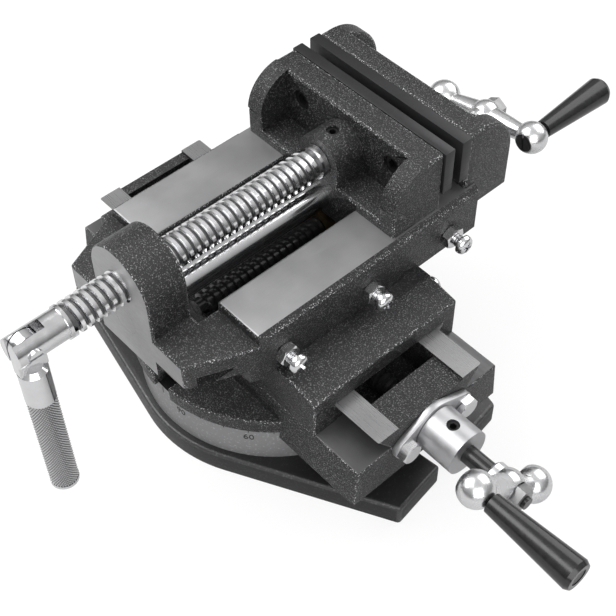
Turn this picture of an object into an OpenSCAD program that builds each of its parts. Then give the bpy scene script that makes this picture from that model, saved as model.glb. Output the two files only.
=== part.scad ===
// Cross slide vise on a swivel base, in millimetres.
// +Z is up, +Y runs along the vise screw towards the fixed jaw, +X towards the lower feed crank.
// The origin is on the swivel axis, on the underside of the base.

/* [Swivel base] */
// Length of the base over its two bolting ears
base_length = 216; // [190:1:250]
// Radius of the round part of the base flange
base_disc_r = 73; // [71:0.5:85]
// Thickness of the base flange
base_flange_t = 13; // [10:0.5:18]
// Width of an ear at its end
ear_end_w = 77; // [60:1:100]
// Width of the open bolt slot in an ear
ear_slot_w = 15; // [11:0.5:20]
// Depth of the bolt slot from the end of the ear
ear_slot_depth = 26; // [18:1:34]
// Radius of the turret that carries the swivel
turret_r = 69; // [66:0.5:71]
// Height of the turret above the flange
turret_h = 24; // [20:0.5:32]
// Angle of the ears from the lower slide's direction
base_angle = 8; // [-45:1:45]
// Radius of the hollow under the base
base_core_r = 44; // [36:1:46]
// Thickness of the deck over the hollow
base_deck_t = 15; // [13:0.5:18]

/* [Swivel clamp] */
// Radius of the lower slide's round swivel flange
swivel_flange_r = 71.5; // [68:0.5:73]
// Thickness of the swivel flange
swivel_flange_t = 8; // [6:0.5:12]
// Radius of the spigot that centres the swivel
spigot_r = 15; // [10:0.5:22]
// Length of the spigot in the base
spigot_len = 12; // [6:0.5:13]
// Distance of the clamp bolts from the swivel axis
clamp_bolt_reach = 58; // [57.5:0.25:58.5]
// Diameter of the clamp bolts
clamp_bolt_d = 10; // [8:0.5:10]
// Width of the clamp bolts' square heads
clamp_head_w = 14; // [13:0.5:15]
// Thickness of the clamp bolts' heads
clamp_head_t = 5; // [4:0.5:6]
// Depth of the lip over the clamp bolts' heads
clamp_lip_t = 5; // [4:0.5:6]
// Room below the clamp bolts' heads in their ring slot
clamp_floor_room = 2; // [1:0.5:2.5]
// Width across the flats of the clamp nuts
clamp_nut_af = 16; // [13:0.5:17]
// Thickness of the clamp nuts
clamp_nut_t = 8; // [6:0.5:8]
// Length of bolt that stands above its clamp nut
clamp_bolt_tail = 2; // [1:0.25:2.5]

/* [Lower slide] */
// Distance from the swivel axis to the lower slide's crank end
lower_crank_end = 104.5; // [100:0.5:116]
// Distance from the swivel axis to the lower slide's far end
lower_far_end = 95.5; // [92:0.5:108]
// Height of the lower slide's ledges above the turret
ledge_rise = 19; // [17:0.5:24]
// Half width over the lower ways
lower_way_half = 32; // [30:0.5:35]
// Height of the lower dovetail
lower_dovetail_h = 12; // [10:0.5:14]
// Half width of the trough between the lower ways
lower_trough_half = 20; // [18:0.5:21]
// Half width of the lower slide over its ledges
ledge_half = 43.8; // [42:0.1:46]
// Half width of the lower slide at the foot of its skirts
skirt_foot_half = 46; // [44:0.5:50]
// Height of the skirts below the ledges
skirt_h = 23; // [18:0.5:26]
// Wall of the skirts at their foot
skirt_wall = 7; // [5:0.5:10]
// Thickness of the block that closes the trough at the crank end
end_block_t = 18; // [14:0.5:22]
// Thickness of the block that closes the trough at the far end
far_block_t = 6; // [4:0.5:6]
// Drop from the lower ways to the tops of the two end blocks
end_block_drop = 1.5; // [0.5:0.5:4]
// Drop from the lower ways to the lower feed screw's axis
lower_screw_drop = 14; // [13:0.5:14.5]

/* [Saddle] */
// Length of the saddle along the lower ways
saddle_length = 154; // [140:1:164]
// Width of the saddle along the upper ways
saddle_width = 88; // [84:1:92]
// Height of the saddle from the lower ledges to its shoulders
saddle_h = 25; // [23:0.5:30]
// Half length of the flat shoulder on the saddle
shoulder_half = 60.5; // [56:0.5:66]
// Fall of the sloped end above the saddle's end face
slope_drop = 3; // [1:0.5:6]
// Half width over the upper ways
upper_way_half = 44; // [42:0.5:45]
// Height of the upper dovetail
upper_dovetail_h = 13.5; // [12:0.5:15]
// Half width of the trough between the upper ways
upper_trough_half = 26; // [23:0.5:28]
// Drop from the upper ways to the upper feed screw's axis
upper_screw_drop = 16.5; // [15:0.5:17]
// Angle of all dovetail flanks from the level
dovetail_angle = 55; // [50:1:60]

/* [Gibs] */
// Thickness of the gib strips
gib_t = 3.5; // [2.5:0.25:3.75]
// Diameter of the gib screws
gib_screw_d = 6; // [5:0.5:6.5]
// Distance between the gib screws on the vise body
upper_gib_pitch = 51; // [40:1:56]
// Distance between the gib screws on the saddle
lower_gib_pitch = 54; // [40:1:60]
// Reach of the gib screws beyond the wall
gib_screw_reach = 12; // [9:0.5:16]
// Thickness of the gib lock nuts
gib_nut_t = 4.5; // [3.5:0.5:5.5]
// Width across the flats of the gib lock nuts
gib_nut_af = 10; // [8:0.5:11]
// Diameter of the gib screws' heads
gib_head_d = 9.5; // [8:0.5:11]
// Height of the gib screws' heads
gib_head_h = 3.6; // [2.5:0.1:4.5]
// Height of the vise body's gib screws above the middle of their dovetail
upper_gib_lift = 1.5; // [0:0.25:2]
// Room above and below a gib strip
gib_room = 0.5; // [0.3:0.1:1]

/* [Vise body] */
// Distance from the swivel axis forward to the vise body's front face
body_front = 83; // [80:1:90]
// Distance from the swivel axis forward to the front end of the ways
way_front = 51.5; // [48:0.5:56]
// Distance from the swivel axis back to the rear end of the skirts
skirt_rear = 81.5; // [80:0.5:88]
// Distance from the swivel axis forward to the front end of the skirts
skirt_front = 57; // [55:0.5:60]
// Thickness of the rails that carry the ways
rail_t = 13; // [11:0.5:16]
// Half width over the vise body's sides
body_half = 52.5; // [51:0.5:56]
// Chamfer along the outer edges of the ways
way_chamfer = 2.5; // [1:0.5:4]
// Half width of the channel between the ways
channel_half = 24; // [22.5:0.5:27]
// Half width of the screw boss
boss_half = 19.5; // [18:0.5:22]
// Distance from the swivel axis forward to the rear of the screw boss
boss_rear = 62; // [59:0.5:66]
// Thickness of the front face below the boss
nose_t = 5; // [3.5:0.5:5.5]
// Depth of the front face below the ways
nose_drop = 28; // [20:0.5:30]
// Drop from the ways to the wings beside the boss
wing_drop = 4.5; // [2:0.5:8]
// Thickness of the wings
wing_t = 14; // [10:0.5:16]
// Half width of the wings' front edge
wing_front_half = 39.5; // [30:0.5:42]
// Length of the wings' chamfered corners along the body
wing_corner = 31; // [12:1:31]
// Distance from the swivel axis back to the rear wall's outer face
rear_face = 105.6; // [103:0.1:116]
// Thickness of the rear wall that carries the upper feed screw
rear_wall_t = 14; // [11:0.5:14]
// Half width of the rear wall
rear_wall_half = 34; // [30:0.5:40]
// Depth of the rear wall below the upper feed screw's axis
rear_wall_drop = 9.5; // [8:0.25:9.75]

/* [Jaws] */
// Width of the jaw plates
jaw_width = 100; // [96:1:110]
// Height of the jaws above the ways
jaw_depth = 32.5; // [30:0.5:38]
// Height of the jaw plates
plate_h = 24; // [18:0.5:28]
// Thickness of the jaw plates
plate_t = 6; // [4:0.25:8]
// Opening between the jaw plates at rest
jaw_gap = 4.8; // [0.5:0.1:10]
// Distance from the swivel axis back to the fixed jaw's working face
fixed_face = 75.4; // [73:0.1:80]
// Distance the plates stand proud of the castings at each side
plate_overhang = 1; // [0:0.25:3]
// Thickness of the fixed jaw's wall behind the plate
fixed_wall_t = 11.4; // [10.5:0.1:15]
// Depth of the fixed jaw from its working face to its back
fixed_jaw_t = 30.2; // [28:0.1:34]
// Rounding of the fixed jaw's side gussets at their back
fixed_round_r = 24; // [18:0.5:26]
// Length of the movable jaw from its working face to its foot
movable_jaw_l = 29.6; // [27:0.1:34]
// Thickness of the movable jaw's wall behind the plate
movable_wall_t = 12.9; // [11:0.1:16]
// Rounding of the movable jaw's side gussets at their front
movable_round_r = 19.5; // [14:0.5:24]
// Thickness of the jaws' side gussets
gusset_t = 9.3; // [6:0.1:12]
// Thickness of the movable jaw's foot
jaw_foot_t = 4.5; // [3:0.5:7]
// Radius of the arched boss in the movable jaw
jaw_boss_r = 12.5; // [11:0.25:14]
// Depth of the movable jaw's key below the ways
jaw_key_drop = 17; // [15.5:0.5:18]
// Distance between the two screws of a jaw plate
plate_screw_pitch = 60; // [50:1:66]
// Diameter of the jaw plate screws
plate_screw_d = 6; // [5:0.5:7]
// Diameter of the jaw plate screws' heads
plate_head_d = 10; // [8.5:0.5:11]
// Depth of the fixed jaw plate's screws in the casting
plate_screw_grip = 10; // [8:0.5:14]
// Height of the fixed jaw plate screws' heads
fixed_head_h = 3.2; // [2.5:0.1:3.4]
// Depth of the fixed jaw plate screws' heads below the plate's face
fixed_head_sink = 0.4; // [0.2:0.1:0.6]
// Height of the movable jaw plate screws' heads
plate_head_h = 5; // [4:0.5:6]
// Depth of the movable jaw plate screws' heads below the wall's face
plate_head_sink = 1; // [0.5:0.25:2]
// Depth of the movable jaw plate's screws in the plate
plate_thread_l = 4.5; // [3:0.25:4.75]

/* [Vise screw] */
// Diameter of the vise screw
vise_screw_d = 16; // [13:0.5:17]
// Height of the vise screw's axis above the ways
vise_screw_rise = 14.5; // [12.5:0.5:16]
// Diameter of the vise screw's end in the movable jaw
vise_journal_d = 12; // [9:0.5:13]
// Length of the vise screw's end in the movable jaw
vise_journal_l = 16; // [13:0.5:20]
// Length of screw that shows in front of the body
screw_exposed = 28; // [24:0.5:40]
// Diameter of the guide bar
guide_bar_d = 14; // [11:0.5:15]
// Drop from the ways to the guide bar's axis
guide_bar_drop = 7.5; // [7:0.5:8]
// Depth of the guide bar's seat in the fixed jaw
guide_bar_seat = 12; // [8:0.5:18]
// Diameter of the screw that holds the vise screw in the jaw
retaining_screw_d = 6; // [4:0.5:7]
// Distance of that screw from the movable jaw's front
retaining_reach = 8.8; // [8:0.1:9.5]
// Depth of the groove that the screw holds
groove_depth = 1.2; // [0.8:0.1:1.5]

/* [Folding handle] */
// Diameter of the yoke on the vise screw
yoke_d = 14.5; // [13:0.5:19]
// Length of the yoke
yoke_l = 25; // [24:0.5:32]
// Distance from the handle's pivot to the end of the yoke
yoke_end = 7; // [6:0.5:8]
// Diameter of the folding handle
handle_d = 13.5; // [12:0.5:15]
// Length of the handle from its pivot to its tip
handle_l = 100; // [80:1:105]
// Thickness of the handle's flat tongue
tongue_t = 5; // [4:0.25:8]
// Length of the handle's tongue from the pivot
tongue_l = 13; // [11:0.5:18]
// Diameter of the handle's pivot screw
pivot_d = 4; // [3:0.25:6]
// Diameter of the pivot screw's head
pivot_head_d = 6.5; // [5:0.25:10]
// Height of the pivot screw's head
pivot_head_h = 2.5; // [1.5:0.25:3.5]
// Depth of the pivot screw's ends below the yoke's sides
pivot_sink = 1.5; // [1:0.25:2]
// Width of the slot in the pivot screw's head
pivot_slot_w = 1.2; // [0.8:0.1:1.6]
// Bevel at the handle's tip
handle_tip_bevel = 2.5; // [1:0.25:4]
// Bevel at the handle's shoulder
handle_shoulder_bevel = 2; // [1:0.25:3]
// Room behind the handle's tongue in the yoke's slot
yoke_slot_room = 2; // [1:0.25:3]

/* [Feed screws] */
// Diameter of the two feed screws
feed_screw_d = 11; // [10:0.5:12]
// Diameter of the feed screws at their cranks
feed_journal_d = 9; // [8:0.5:9.5]
// Distance from the lower slide's end to the lower crank's centre
lower_crank_reach = 46.3; // [45:0.1:56]
// Distance from the vise body's rear wall to the upper crank's centre
upper_crank_reach = 41; // [38:0.1:50]
// Length of the lower feed screw inside the slide
lower_screw_len = 193; // [186:1:193]
// Length of the upper feed screw inside the body
upper_screw_len = 152; // [146:1:156]
// Distance of the lower feed nut from the swivel axis, towards the far end
lower_nut_offset = 29; // [28.75:0.25:31]
// Distance of the upper feed nut from the swivel axis, towards the fixed jaw
upper_nut_offset = 36.5; // [36:0.25:36.75]
// Length of the feed nuts along their screws
feed_nut_l = 15; // [13:0.5:15]
// Width of the feed nuts
feed_nut_w = 30; // [27:0.5:34]
// Height of the feed nuts above or below the screw's axis
feed_nut_rise = 9; // [8:0.5:9.5]
// Distance between the two screws of a feed nut
nut_screw_pitch = 20.5; // [19.5:0.25:22]
// Distance of the upper feed nut's screws behind its middle
upper_nut_screw_shift = 3.1; // [2.9:0.1:3.2]
// Diameter of the feed nut screws
nut_screw_d = 5; // [4:0.5:5.5]
// Length of the feed nut screws in the saddle
nut_screw_len = 8; // [6:0.5:9]
// Diameter of the feed nut screws' heads
nut_head_d = 8.5; // [7:0.25:8.5]
// Height of the feed nut screws' heads
nut_head_h = 3; // [2:0.25:4]

/* [Bearing brackets] */
// Thickness of the bearing brackets
bracket_t = 3.5; // [3:0.25:5]
// Radius of a bracket around its screw
bracket_hub_r = 13.5; // [11:0.5:14]
// Radius of a bracket's lugs
bracket_lug_r = 5.75; // [5:0.25:6]
// Distance of the bracket bolts from the screw's axis
bracket_bolt_reach = 18; // [17.5:0.25:18]
// Diameter of the bracket bolts
bracket_bolt_d = 6; // [5:0.5:6.5]
// Width across the flats of the bracket bolts' heads
bracket_head_af = 10; // [8:0.5:10]
// Height of the bracket bolts' heads
bracket_head_h = 4.5; // [3:0.5:5]
// Depth of the bracket bolts in the casting
bracket_bolt_depth = 8; // [6:0.5:9]
// Diameter of the thrust collars
collar_d = 23; // [20:0.5:24]
// Length of the thrust collars
collar_l = 19.5; // [14:0.5:22]
// Diameter of the collars' set screws
set_screw_d = 6; // [4:0.5:7]
// Depth of the set screws below the faces around them
set_screw_sink = 1.2; // [0.5:0.1:2]
// Depth of the set screws' hexagon sockets
set_socket_l = 3; // [2:0.25:3.5]

/* [Ball cranks] */
// Distance of the handle ball from the crank's hub
crank_arm = 31.5; // [28:0.5:40]
// Distance of the counterweight ball from the crank's hub
weight_arm = 29.5; // [24:0.5:32]
// Radius of the handle ball
handle_ball_r = 8.4; // [7.5:0.1:9.5]
// Radius of the counterweight ball
weight_ball_r = 8.8; // [6.5:0.1:10]
// Radius of the crank's hub
crank_hub_r = 8.5; // [8:0.25:10.5]
// Length of the crank's hub
crank_hub_l = 14; // [12:0.5:20]
// Distance from the middle of a crank's arm to its hub's nut face
crank_hub_front = 5; // [4:0.25:8]
// Radius of the crank hub's flat faces
crank_face_r = 7; // [6.5:0.1:8.4]
// Radius of the crank's arm where it meets a ball
crank_neck_r = 4.25; // [3.5:0.25:5]
// Radius of the crank's arm where it meets the hub
crank_root_r = 6.25; // [5:0.25:7]
// Diameter of a feed screw's thread in its crank nut
crank_stud_d = 6; // [5:0.25:7]
// Length of screw that stands out of a crank nut
crank_stud_tail = 2; // [1:0.25:4]
// Width across the flats of the crank nuts
crank_nut_af = 11; // [9:0.5:14]
// Thickness of the crank nuts
crank_nut_t = 5; // [4:0.5:8]
// Angle of the lower crank's handle above the level
lower_crank_angle = 45; // [-90:1:90]
// Angle of the upper crank's handle above the level
upper_crank_angle = 10; // [-90:0.1:90]
// Length of the crank grips
grip_l = 45.5; // [38:0.5:60]
// Radius of a grip at the crank
grip_small_r = 4.8; // [4.25:0.25:6]
// Radius of a grip at its free end
grip_big_r = 7.5; // [6.5:0.25:9]
// Diameter of the studs that the grips turn on
grip_stud_d = 5; // [4:0.25:6]
// Diameter of the studs' heads
grip_head_d = 7.5; // [6.5:0.25:8]
// Height of the studs' heads
grip_head_t = 2.5; // [1.5:0.25:3.5]
// Rounding at the grips' free end
grip_end_round = 2; // [1:0.25:3]

/* [Fits] */
// Clearance between sliding ways
way_clearance = 0.1; // [0.05:0.01:0.25]
// Radial clearance of turning shafts in their bores
shaft_clearance = 0.05; // [0.02:0.01:0.09]
// Radial clearance of set fasteners in their holes
hole_clearance = 0.05; // [0.02:0.01:0.09]
// End clearance of collars, grips and other turning faces
end_clearance = 0.3; // [0.1:0.05:0.5]
// Room round the clamp bolts in their slots
clamp_bolt_room = 0.5; // [0.3:0.1:0.6]
// Room beside the clamp bolts' heads in their ring slot
clamp_head_room = 0.8; // [0.7:0.1:1]
// Room between a feed screw and the floor of its trough
trough_room = 1; // [0.5:0.25:1.5]

/* [Hidden] */
$fn = 64;
// overlap that lets a cutting solid reach through a face
cut = 1;

z_turret = base_flange_t + turret_h;
z_swivel_top = z_turret + swivel_flange_t;
z_ledge = z_turret + ledge_rise;
z_skirt_foot = z_ledge - skirt_h;
z_lower_way = z_ledge + lower_dovetail_h;
z_lower_screw = z_lower_way - lower_screw_drop;
z_lower_floor = z_lower_screw - feed_screw_d / 2 - trough_room;
z_shoulder = z_ledge + saddle_h;
z_upper_way = z_shoulder + upper_dovetail_h;
z_upper_screw = z_upper_way - upper_screw_drop;
z_upper_floor = z_upper_screw - feed_screw_d / 2 - trough_room;
z_way = z_upper_way + rail_t;
z_wing = z_way - wing_drop;
z_nose = z_way - nose_drop;
z_vise_screw = z_way + vise_screw_rise;
z_guide_bar = z_way - guide_bar_drop;
z_jaw_top = z_way + jaw_depth;
z_plate_foot = z_jaw_top - plate_h;
z_plate_screw = z_jaw_top - plate_h / 2;
z_rear_foot = z_upper_screw - rear_wall_drop;

// flank run of a dovetail over a height
function flank_run(h) = h / tan(dovetail_angle);
gib_run = gib_t / sin(dovetail_angle);
lower_root_half = lower_way_half - flank_run(lower_dovetail_h);
upper_root_half = upper_way_half - flank_run(upper_dovetail_h);
lower_gib_z = z_ledge + lower_dovetail_h / 2;
upper_gib_z = z_shoulder + upper_dovetail_h / 2 + upper_gib_lift;
skirt_mid = (skirt_rear - skirt_front) / 2;

casting_half = jaw_width / 2 - plate_overhang;
fixed_plate_face = fixed_face - plate_t;
movable_plate_face = fixed_plate_face - jaw_gap;
movable_face = movable_plate_face - plate_t;
movable_front = movable_face - movable_jaw_l;
movable_wall_front = movable_face - movable_wall_t;
fixed_back = fixed_face + fixed_jaw_t;
rail_overlap = 1.5;
rear_wall_overlap = 12;
z_fixed_foot = z_way - rail_t - rail_overlap;

yoke_start = -body_front - screw_exposed;
yoke_tip = yoke_start - yoke_l;
pivot_y = yoke_tip + yoke_end;
tongue_end_r = yoke_end - end_clearance;
pivot_head_seat = yoke_d / 2 - pivot_sink;

// places along a feed screw, counted outwards from the end face that carries its bracket
collar_start = bracket_t + end_clearance;
collar_end = collar_start + collar_l;
collar_hole = collar_start + collar_l / 2;

// places along a crank, counted outwards from its centre
hub_end = crank_hub_front;
nut_end = hub_end + crank_nut_t;
grip_start = handle_ball_r + end_clearance;
grip_end = grip_start + grip_l;
grip_recess = grip_head_t + 2 * end_clearance;

lower_nut_top = z_lower_way + way_clearance;
lower_nut_foot = z_lower_floor + 2 * trough_room;
upper_nut_top = z_upper_screw + feed_nut_rise;
retaining_y = movable_front + retaining_reach;
plate_head_seat = movable_wall_front + plate_head_sink + plate_head_h;

// a hexagon socket's radius as a share of its screw's diameter
socket_share = 0.29;
// steps of a drawn arc, and the angle of a half turn
arc_steps = 12;
half_turn = 180;

iron = [0.16, 0.16, 0.17];
ground_steel = [0.62, 0.62, 0.63];
dark_steel = [0.12, 0.12, 0.13];
chrome = [0.85, 0.85, 0.87];
aluminium = [0.75, 0.75, 0.76];
bronze = [0.62, 0.47, 0.25];
black_plastic = [0.05, 0.05, 0.05];

// Shared shapes

// a section in Y and Z drawn out along X
module along_x(from, to) {
  translate([from, 0, 0])
    rotate([90, 0, 90])
      linear_extrude(to - from) children();
}

// a section in X and Z drawn out along Y
module along_y(from, to) {
  translate([0, to, 0])
    rotate([90, 0, 0])
      linear_extrude(to - from) children();
}

// a round bar along X
module bar_x(r, from, to) {
  translate([from, 0, 0])
    rotate([0, 90, 0])
      cylinder(r = r, h = to - from);
}

// a round bar along Y at a height
module bar_y(r, from, to, x, z) {
  translate([x, from, z])
    rotate([-90, 0, 0])
      cylinder(r = r, h = to - from);
}

// a hexagonal prism on the Z axis
module hex_prism(across_flats, h) {
  cylinder(d = across_flats / cos(30), h = h, $fn = 6);
}

// a block between two corners
module block(low, high) {
  translate(low)
    cube(high - low);
}

// the lower feed screw's end: X runs out along the screw from the slide's end face
module at_lower_feed() {
  translate([lower_crank_end, 0, z_lower_screw])
    children();
}

// the upper feed screw's end, turned to run out along Y
module at_upper_feed() {
  translate([0, rear_face, z_upper_screw])
    rotate([0, 0, 90])
      children();
}

// the centres of the two cranks, with X running out along their screws
module at_lower_crank() {
  at_lower_feed()
    translate([lower_crank_reach, 0, 0])
      children();
}

module at_upper_crank() {
  at_upper_feed()
    translate([upper_crank_reach, 0, 0])
      children();
}

// a rounded outer corner to cut away, in the quarter towards +X and +Y of its centre
module corner_waste(r) {
  difference() {
    square(r + cut);
    circle(r = r);
  }
}

// Swivel base

module base_outline() {
  corner = [base_length / 2, ear_end_w / 2];
  corner_angle = atan2(corner.y, corner.x);
  touch_angle = corner_angle + acos(base_disc_r / norm(corner));
  touch = base_disc_r * [cos(touch_angle), sin(touch_angle)];
  circle(r = base_disc_r, $fn = 128);
  polygon([corner, touch, [-touch.x, touch.y], [-corner.x, corner.y],
    -corner, -touch, [touch.x, -touch.y], [corner.x, -corner.y]]);
}

module ear_slot() {
  slot_centre = base_length / 2 - ear_slot_depth + ear_slot_w / 2;
  translate([slot_centre, 0])
    circle(d = ear_slot_w);
  translate([slot_centre, -ear_slot_w / 2])
    square([ear_slot_depth, ear_slot_w]);
}

// the ring-shaped slot with an undercut for the clamp bolts' heads
module clamp_ring_slot() {
  neck_half = clamp_bolt_d / 2 + clamp_bolt_room;
  head_half = clamp_head_w / 2 + clamp_head_room;
  lip_z = z_turret - clamp_lip_t;
  rotate_extrude($fn = 128) {
    translate([clamp_bolt_reach - neck_half, lip_z - cut])
      square([2 * neck_half, clamp_lip_t + 2 * cut]);
    translate([clamp_bolt_reach - head_half, lip_z - clamp_head_t - clamp_floor_room])
      square([2 * head_half, clamp_head_t + clamp_floor_room]);
  }
}

module base() {
  deck_z = z_turret - base_deck_t;
  color(iron)
    rotate([0, 0, base_angle])
      difference() {
        union() {
          linear_extrude(base_flange_t)
            base_outline();
          cylinder(r = turret_r, h = z_turret, $fn = 128);
        }
        translate([0, 0, -cut])
          cylinder(r = base_core_r, h = deck_z + cut);
        cylinder(r = spigot_r + shaft_clearance, h = z_turret + cut);
        clamp_ring_slot();
        for (turn = [0, 180])
          rotate([0, 0, turn])
            translate([0, 0, -cut])
              linear_extrude(base_flange_t + 2 * cut)
                ear_slot();
      }
}

// Lower slide and its swivel clamp

module lower_slide_section() {
  polygon([[-skirt_foot_half, z_skirt_foot], [skirt_foot_half, z_skirt_foot],
    [ledge_half, z_ledge], [lower_root_half, z_ledge], [lower_way_half, z_lower_way],
    [-lower_way_half, z_lower_way], [-lower_root_half, z_ledge], [-ledge_half, z_ledge]]);
}

// the trough between the lower ways, with a lower block left at each end
module lower_trough() {
  block([far_block_t - lower_far_end, -lower_trough_half, z_lower_floor],
    [lower_crank_end - end_block_t, lower_trough_half, z_lower_way + cut]);
  block([-lower_far_end - cut, -lower_trough_half, z_lower_way - end_block_drop],
    [lower_crank_end + cut, lower_trough_half, z_lower_way + cut]);
}

// the hollow under one ledge, outside the swivel flange
module skirt_core(side) {
  core_top = z_ledge - skirt_wall;
  inner = lower_trough_half + skirt_wall / 2;
  outer = skirt_foot_half - skirt_wall;
  polygon([[side * inner, z_skirt_foot - cut], [side * outer, z_skirt_foot - cut],
    [side * (ledge_half - skirt_wall), core_top], [side * inner, core_top]]);
}

module lower_slide() {
  core_start = swivel_flange_r + cut;
  notch_half = clamp_bolt_d / 2 + clamp_bolt_room;
  color(iron)
    difference() {
      union() {
        difference() {
          along_x(-lower_far_end, lower_crank_end)
            lower_slide_section();
          translate([0, 0, base_flange_t])
            cylinder(r = swivel_flange_r, h = turret_h, $fn = 128);
        }
        translate([0, 0, z_turret])
          cylinder(r = swivel_flange_r, h = swivel_flange_t, $fn = 128);
        translate([0, 0, z_turret - spigot_len])
          cylinder(r = spigot_r, h = spigot_len + cut);
      }
      lower_trough();
      for (side = [-1, 1]) {
        along_x(core_start, lower_crank_end - skirt_wall)
          skirt_core(side);
        along_x(-lower_far_end + skirt_wall, -core_start)
          skirt_core(side);
        translate([0, side * clamp_bolt_reach, z_turret - cut])
          cylinder(r = notch_half, h = swivel_flange_t + 2 * cut);
        translate([-notch_half, side > 0 ? clamp_bolt_reach : -clamp_bolt_reach - swivel_flange_r,
          z_turret - cut])
          cube([2 * notch_half, swivel_flange_r, swivel_flange_t + 2 * cut]);
      }
      at_lower_feed()
        bar_x(feed_journal_d / 2 + shaft_clearance, -end_block_t - cut, cut);
      at_lower_feed()
        bracket_bolt_holes();
    }
}

module swivel_t_bolts() {
  head_top = z_turret - clamp_lip_t;
  bolt_top = z_swivel_top + clamp_nut_t + clamp_bolt_tail;
  color(dark_steel)
    for (side = [-1, 1])
      translate([0, side * clamp_bolt_reach, 0]) {
        translate([-clamp_head_w / 2, -clamp_head_w / 2, head_top - clamp_head_t])
          cube([clamp_head_w, clamp_head_w, clamp_head_t]);
        translate([0, 0, head_top - clamp_head_t / 2])
          cylinder(d = clamp_bolt_d, h = bolt_top - head_top + clamp_head_t / 2);
      }
}

module swivel_nuts() {
  color(chrome)
    for (side = [-1, 1])
      translate([0, side * clamp_bolt_reach, z_swivel_top])
        difference() {
          hex_prism(clamp_nut_af, clamp_nut_t);
          translate([0, 0, -cut])
            cylinder(r = clamp_bolt_d / 2 + hole_clearance, h = clamp_nut_t + 2 * cut);
        }
}

// Feed screw ends, drawn along X from the end face that carries the bracket

module bracket_bolt_holes() {
  for (side = [-1, 1])
    translate([0, side * bracket_bolt_reach, 0])
      bar_x(bracket_bolt_d / 2 + hole_clearance, -bracket_bolt_depth - cut, cut);
}

module bracket_outline() {
  hull() {
    circle(r = bracket_hub_r, $fn = 48);
    for (side = [-1, 1])
      translate([side * bracket_bolt_reach, 0])
        circle(r = bracket_lug_r, $fn = 32);
  }
}

module feed_bracket() {
  difference() {
    along_x(0, bracket_t)
      bracket_outline();
    bar_x(feed_journal_d / 2 + shaft_clearance, -cut, bracket_t + cut);
    for (side = [-1, 1])
      translate([0, side * bracket_bolt_reach, 0])
        bar_x(bracket_bolt_d / 2 + hole_clearance, -cut, bracket_t + cut);
  }
}

module feed_bracket_bolts() {
  for (side = [-1, 1])
    translate([0, side * bracket_bolt_reach, 0]) {
      bar_x(bracket_bolt_d / 2, -bracket_bolt_depth, bracket_t + bracket_head_h / 2);
      translate([bracket_t, 0, 0])
        rotate([0, 90, 0])
          hex_prism(bracket_head_af, bracket_head_h);
    }
}

// a feed screw with its shoulder inside a wall and its crank at a reach
module feed_screw(inner_len, wall, reach) {
  bar_x(feed_screw_d / 2, -inner_len, -wall - end_clearance);
  bar_x(feed_journal_d / 2, -inner_len + cut, reach + hub_end);
  bar_x(crank_stud_d / 2, reach + hub_end - cut, reach + nut_end + crank_stud_tail);
}

module feed_collar() {
  difference() {
    bar_x(collar_d / 2, collar_start, collar_end);
    bar_x(feed_journal_d / 2 + hole_clearance, collar_start - cut, collar_end + cut);
    translate([collar_hole, 0, 0])
      cylinder(r = set_screw_d / 2 + hole_clearance, h = collar_d);
  }
}

module collar_set_screw() {
  seat = feed_journal_d / 2 + hole_clearance;
  screw_l = collar_d / 2 - seat - set_screw_sink;
  translate([collar_hole, 0, seat])
    difference() {
      cylinder(d = set_screw_d, h = screw_l);
      translate([0, 0, screw_l - set_socket_l])
        cylinder(r = set_screw_d * socket_share, h = set_socket_l + cut, $fn = 6);
    }
}

// points of a round outline about a place on the axis, by angle from the top
function arc_points(centre, r, from, to) =
  [for (i = [0:arc_steps])
    let (a = from + (to - from) * i / arc_steps)
      [r * sin(a), centre + r * cos(a)]];

// the crank's arm lies along Z here, with the handle ball at the top
module crank_arm_shape() {
  weight_join = asin(crank_neck_r / weight_ball_r);
  handle_join = asin(crank_neck_r / handle_ball_r);
  hub_join = asin(crank_root_r / crank_hub_r);
  rotate_extrude()
    polygon(concat(
      arc_points(-weight_arm, weight_ball_r, half_turn, weight_join),
      arc_points(0, crank_hub_r, half_turn - hub_join, hub_join),
      arc_points(crank_arm, handle_ball_r, half_turn - handle_join, 0)));
}

module feed_crank(angle) {
  rotate([90 - angle, 0, 0])
    difference() {
      union() {
        crank_arm_shape();
        bar_x(crank_face_r, hub_end - crank_hub_l, hub_end);
      }
      bar_x(crank_face_r, hub_end, crank_hub_l);
      bar_x(feed_journal_d / 2 + hole_clearance, -crank_hub_l, crank_hub_l);
      translate([0, 0, crank_arm])
        bar_x(grip_stud_d / 2 + hole_clearance, -handle_ball_r / 2, crank_hub_l);
    }
}

module crank_nut() {
  difference() {
    translate([hub_end, 0, 0])
      rotate([0, 90, 0])
        hex_prism(crank_nut_af, crank_nut_t);
    bar_x(crank_stud_d / 2 + hole_clearance, hub_end - cut, nut_end + cut);
  }
}

// places a shape on the axis of the crank's grip
module at_grip(angle) {
  rotate([90 - angle, 0, 0])
    translate([0, 0, crank_arm])
      children();
}

module feed_grip(angle) {
  bore_r = grip_stud_d / 2 + shaft_clearance;
  recess_r = grip_head_d / 2 + end_clearance;
  at_grip(angle)
    translate([grip_start, 0, 0])
      rotate([0, 90, 0])
        rotate_extrude()
          polygon([[bore_r, 0], [grip_small_r, 0], [grip_big_r, grip_l - grip_end_round],
            [grip_big_r - grip_end_round / 2, grip_l], [recess_r, grip_l],
            [recess_r, grip_l - grip_recess], [bore_r, grip_l - grip_recess]]);
}

module handle_stud(angle) {
  head_start = grip_end - grip_recess + end_clearance;
  at_grip(angle) {
    bar_x(grip_stud_d / 2, -handle_ball_r / 2, head_start + grip_head_t / 2);
    bar_x(grip_head_d / 2, head_start, head_start + grip_head_t);
  }
}

module lower_bearing_bracket() {
  color(aluminium)
    at_lower_feed()
      feed_bracket();
}

module upper_bearing_bracket() {
  color(aluminium)
    at_upper_feed()
      feed_bracket();
}

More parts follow.
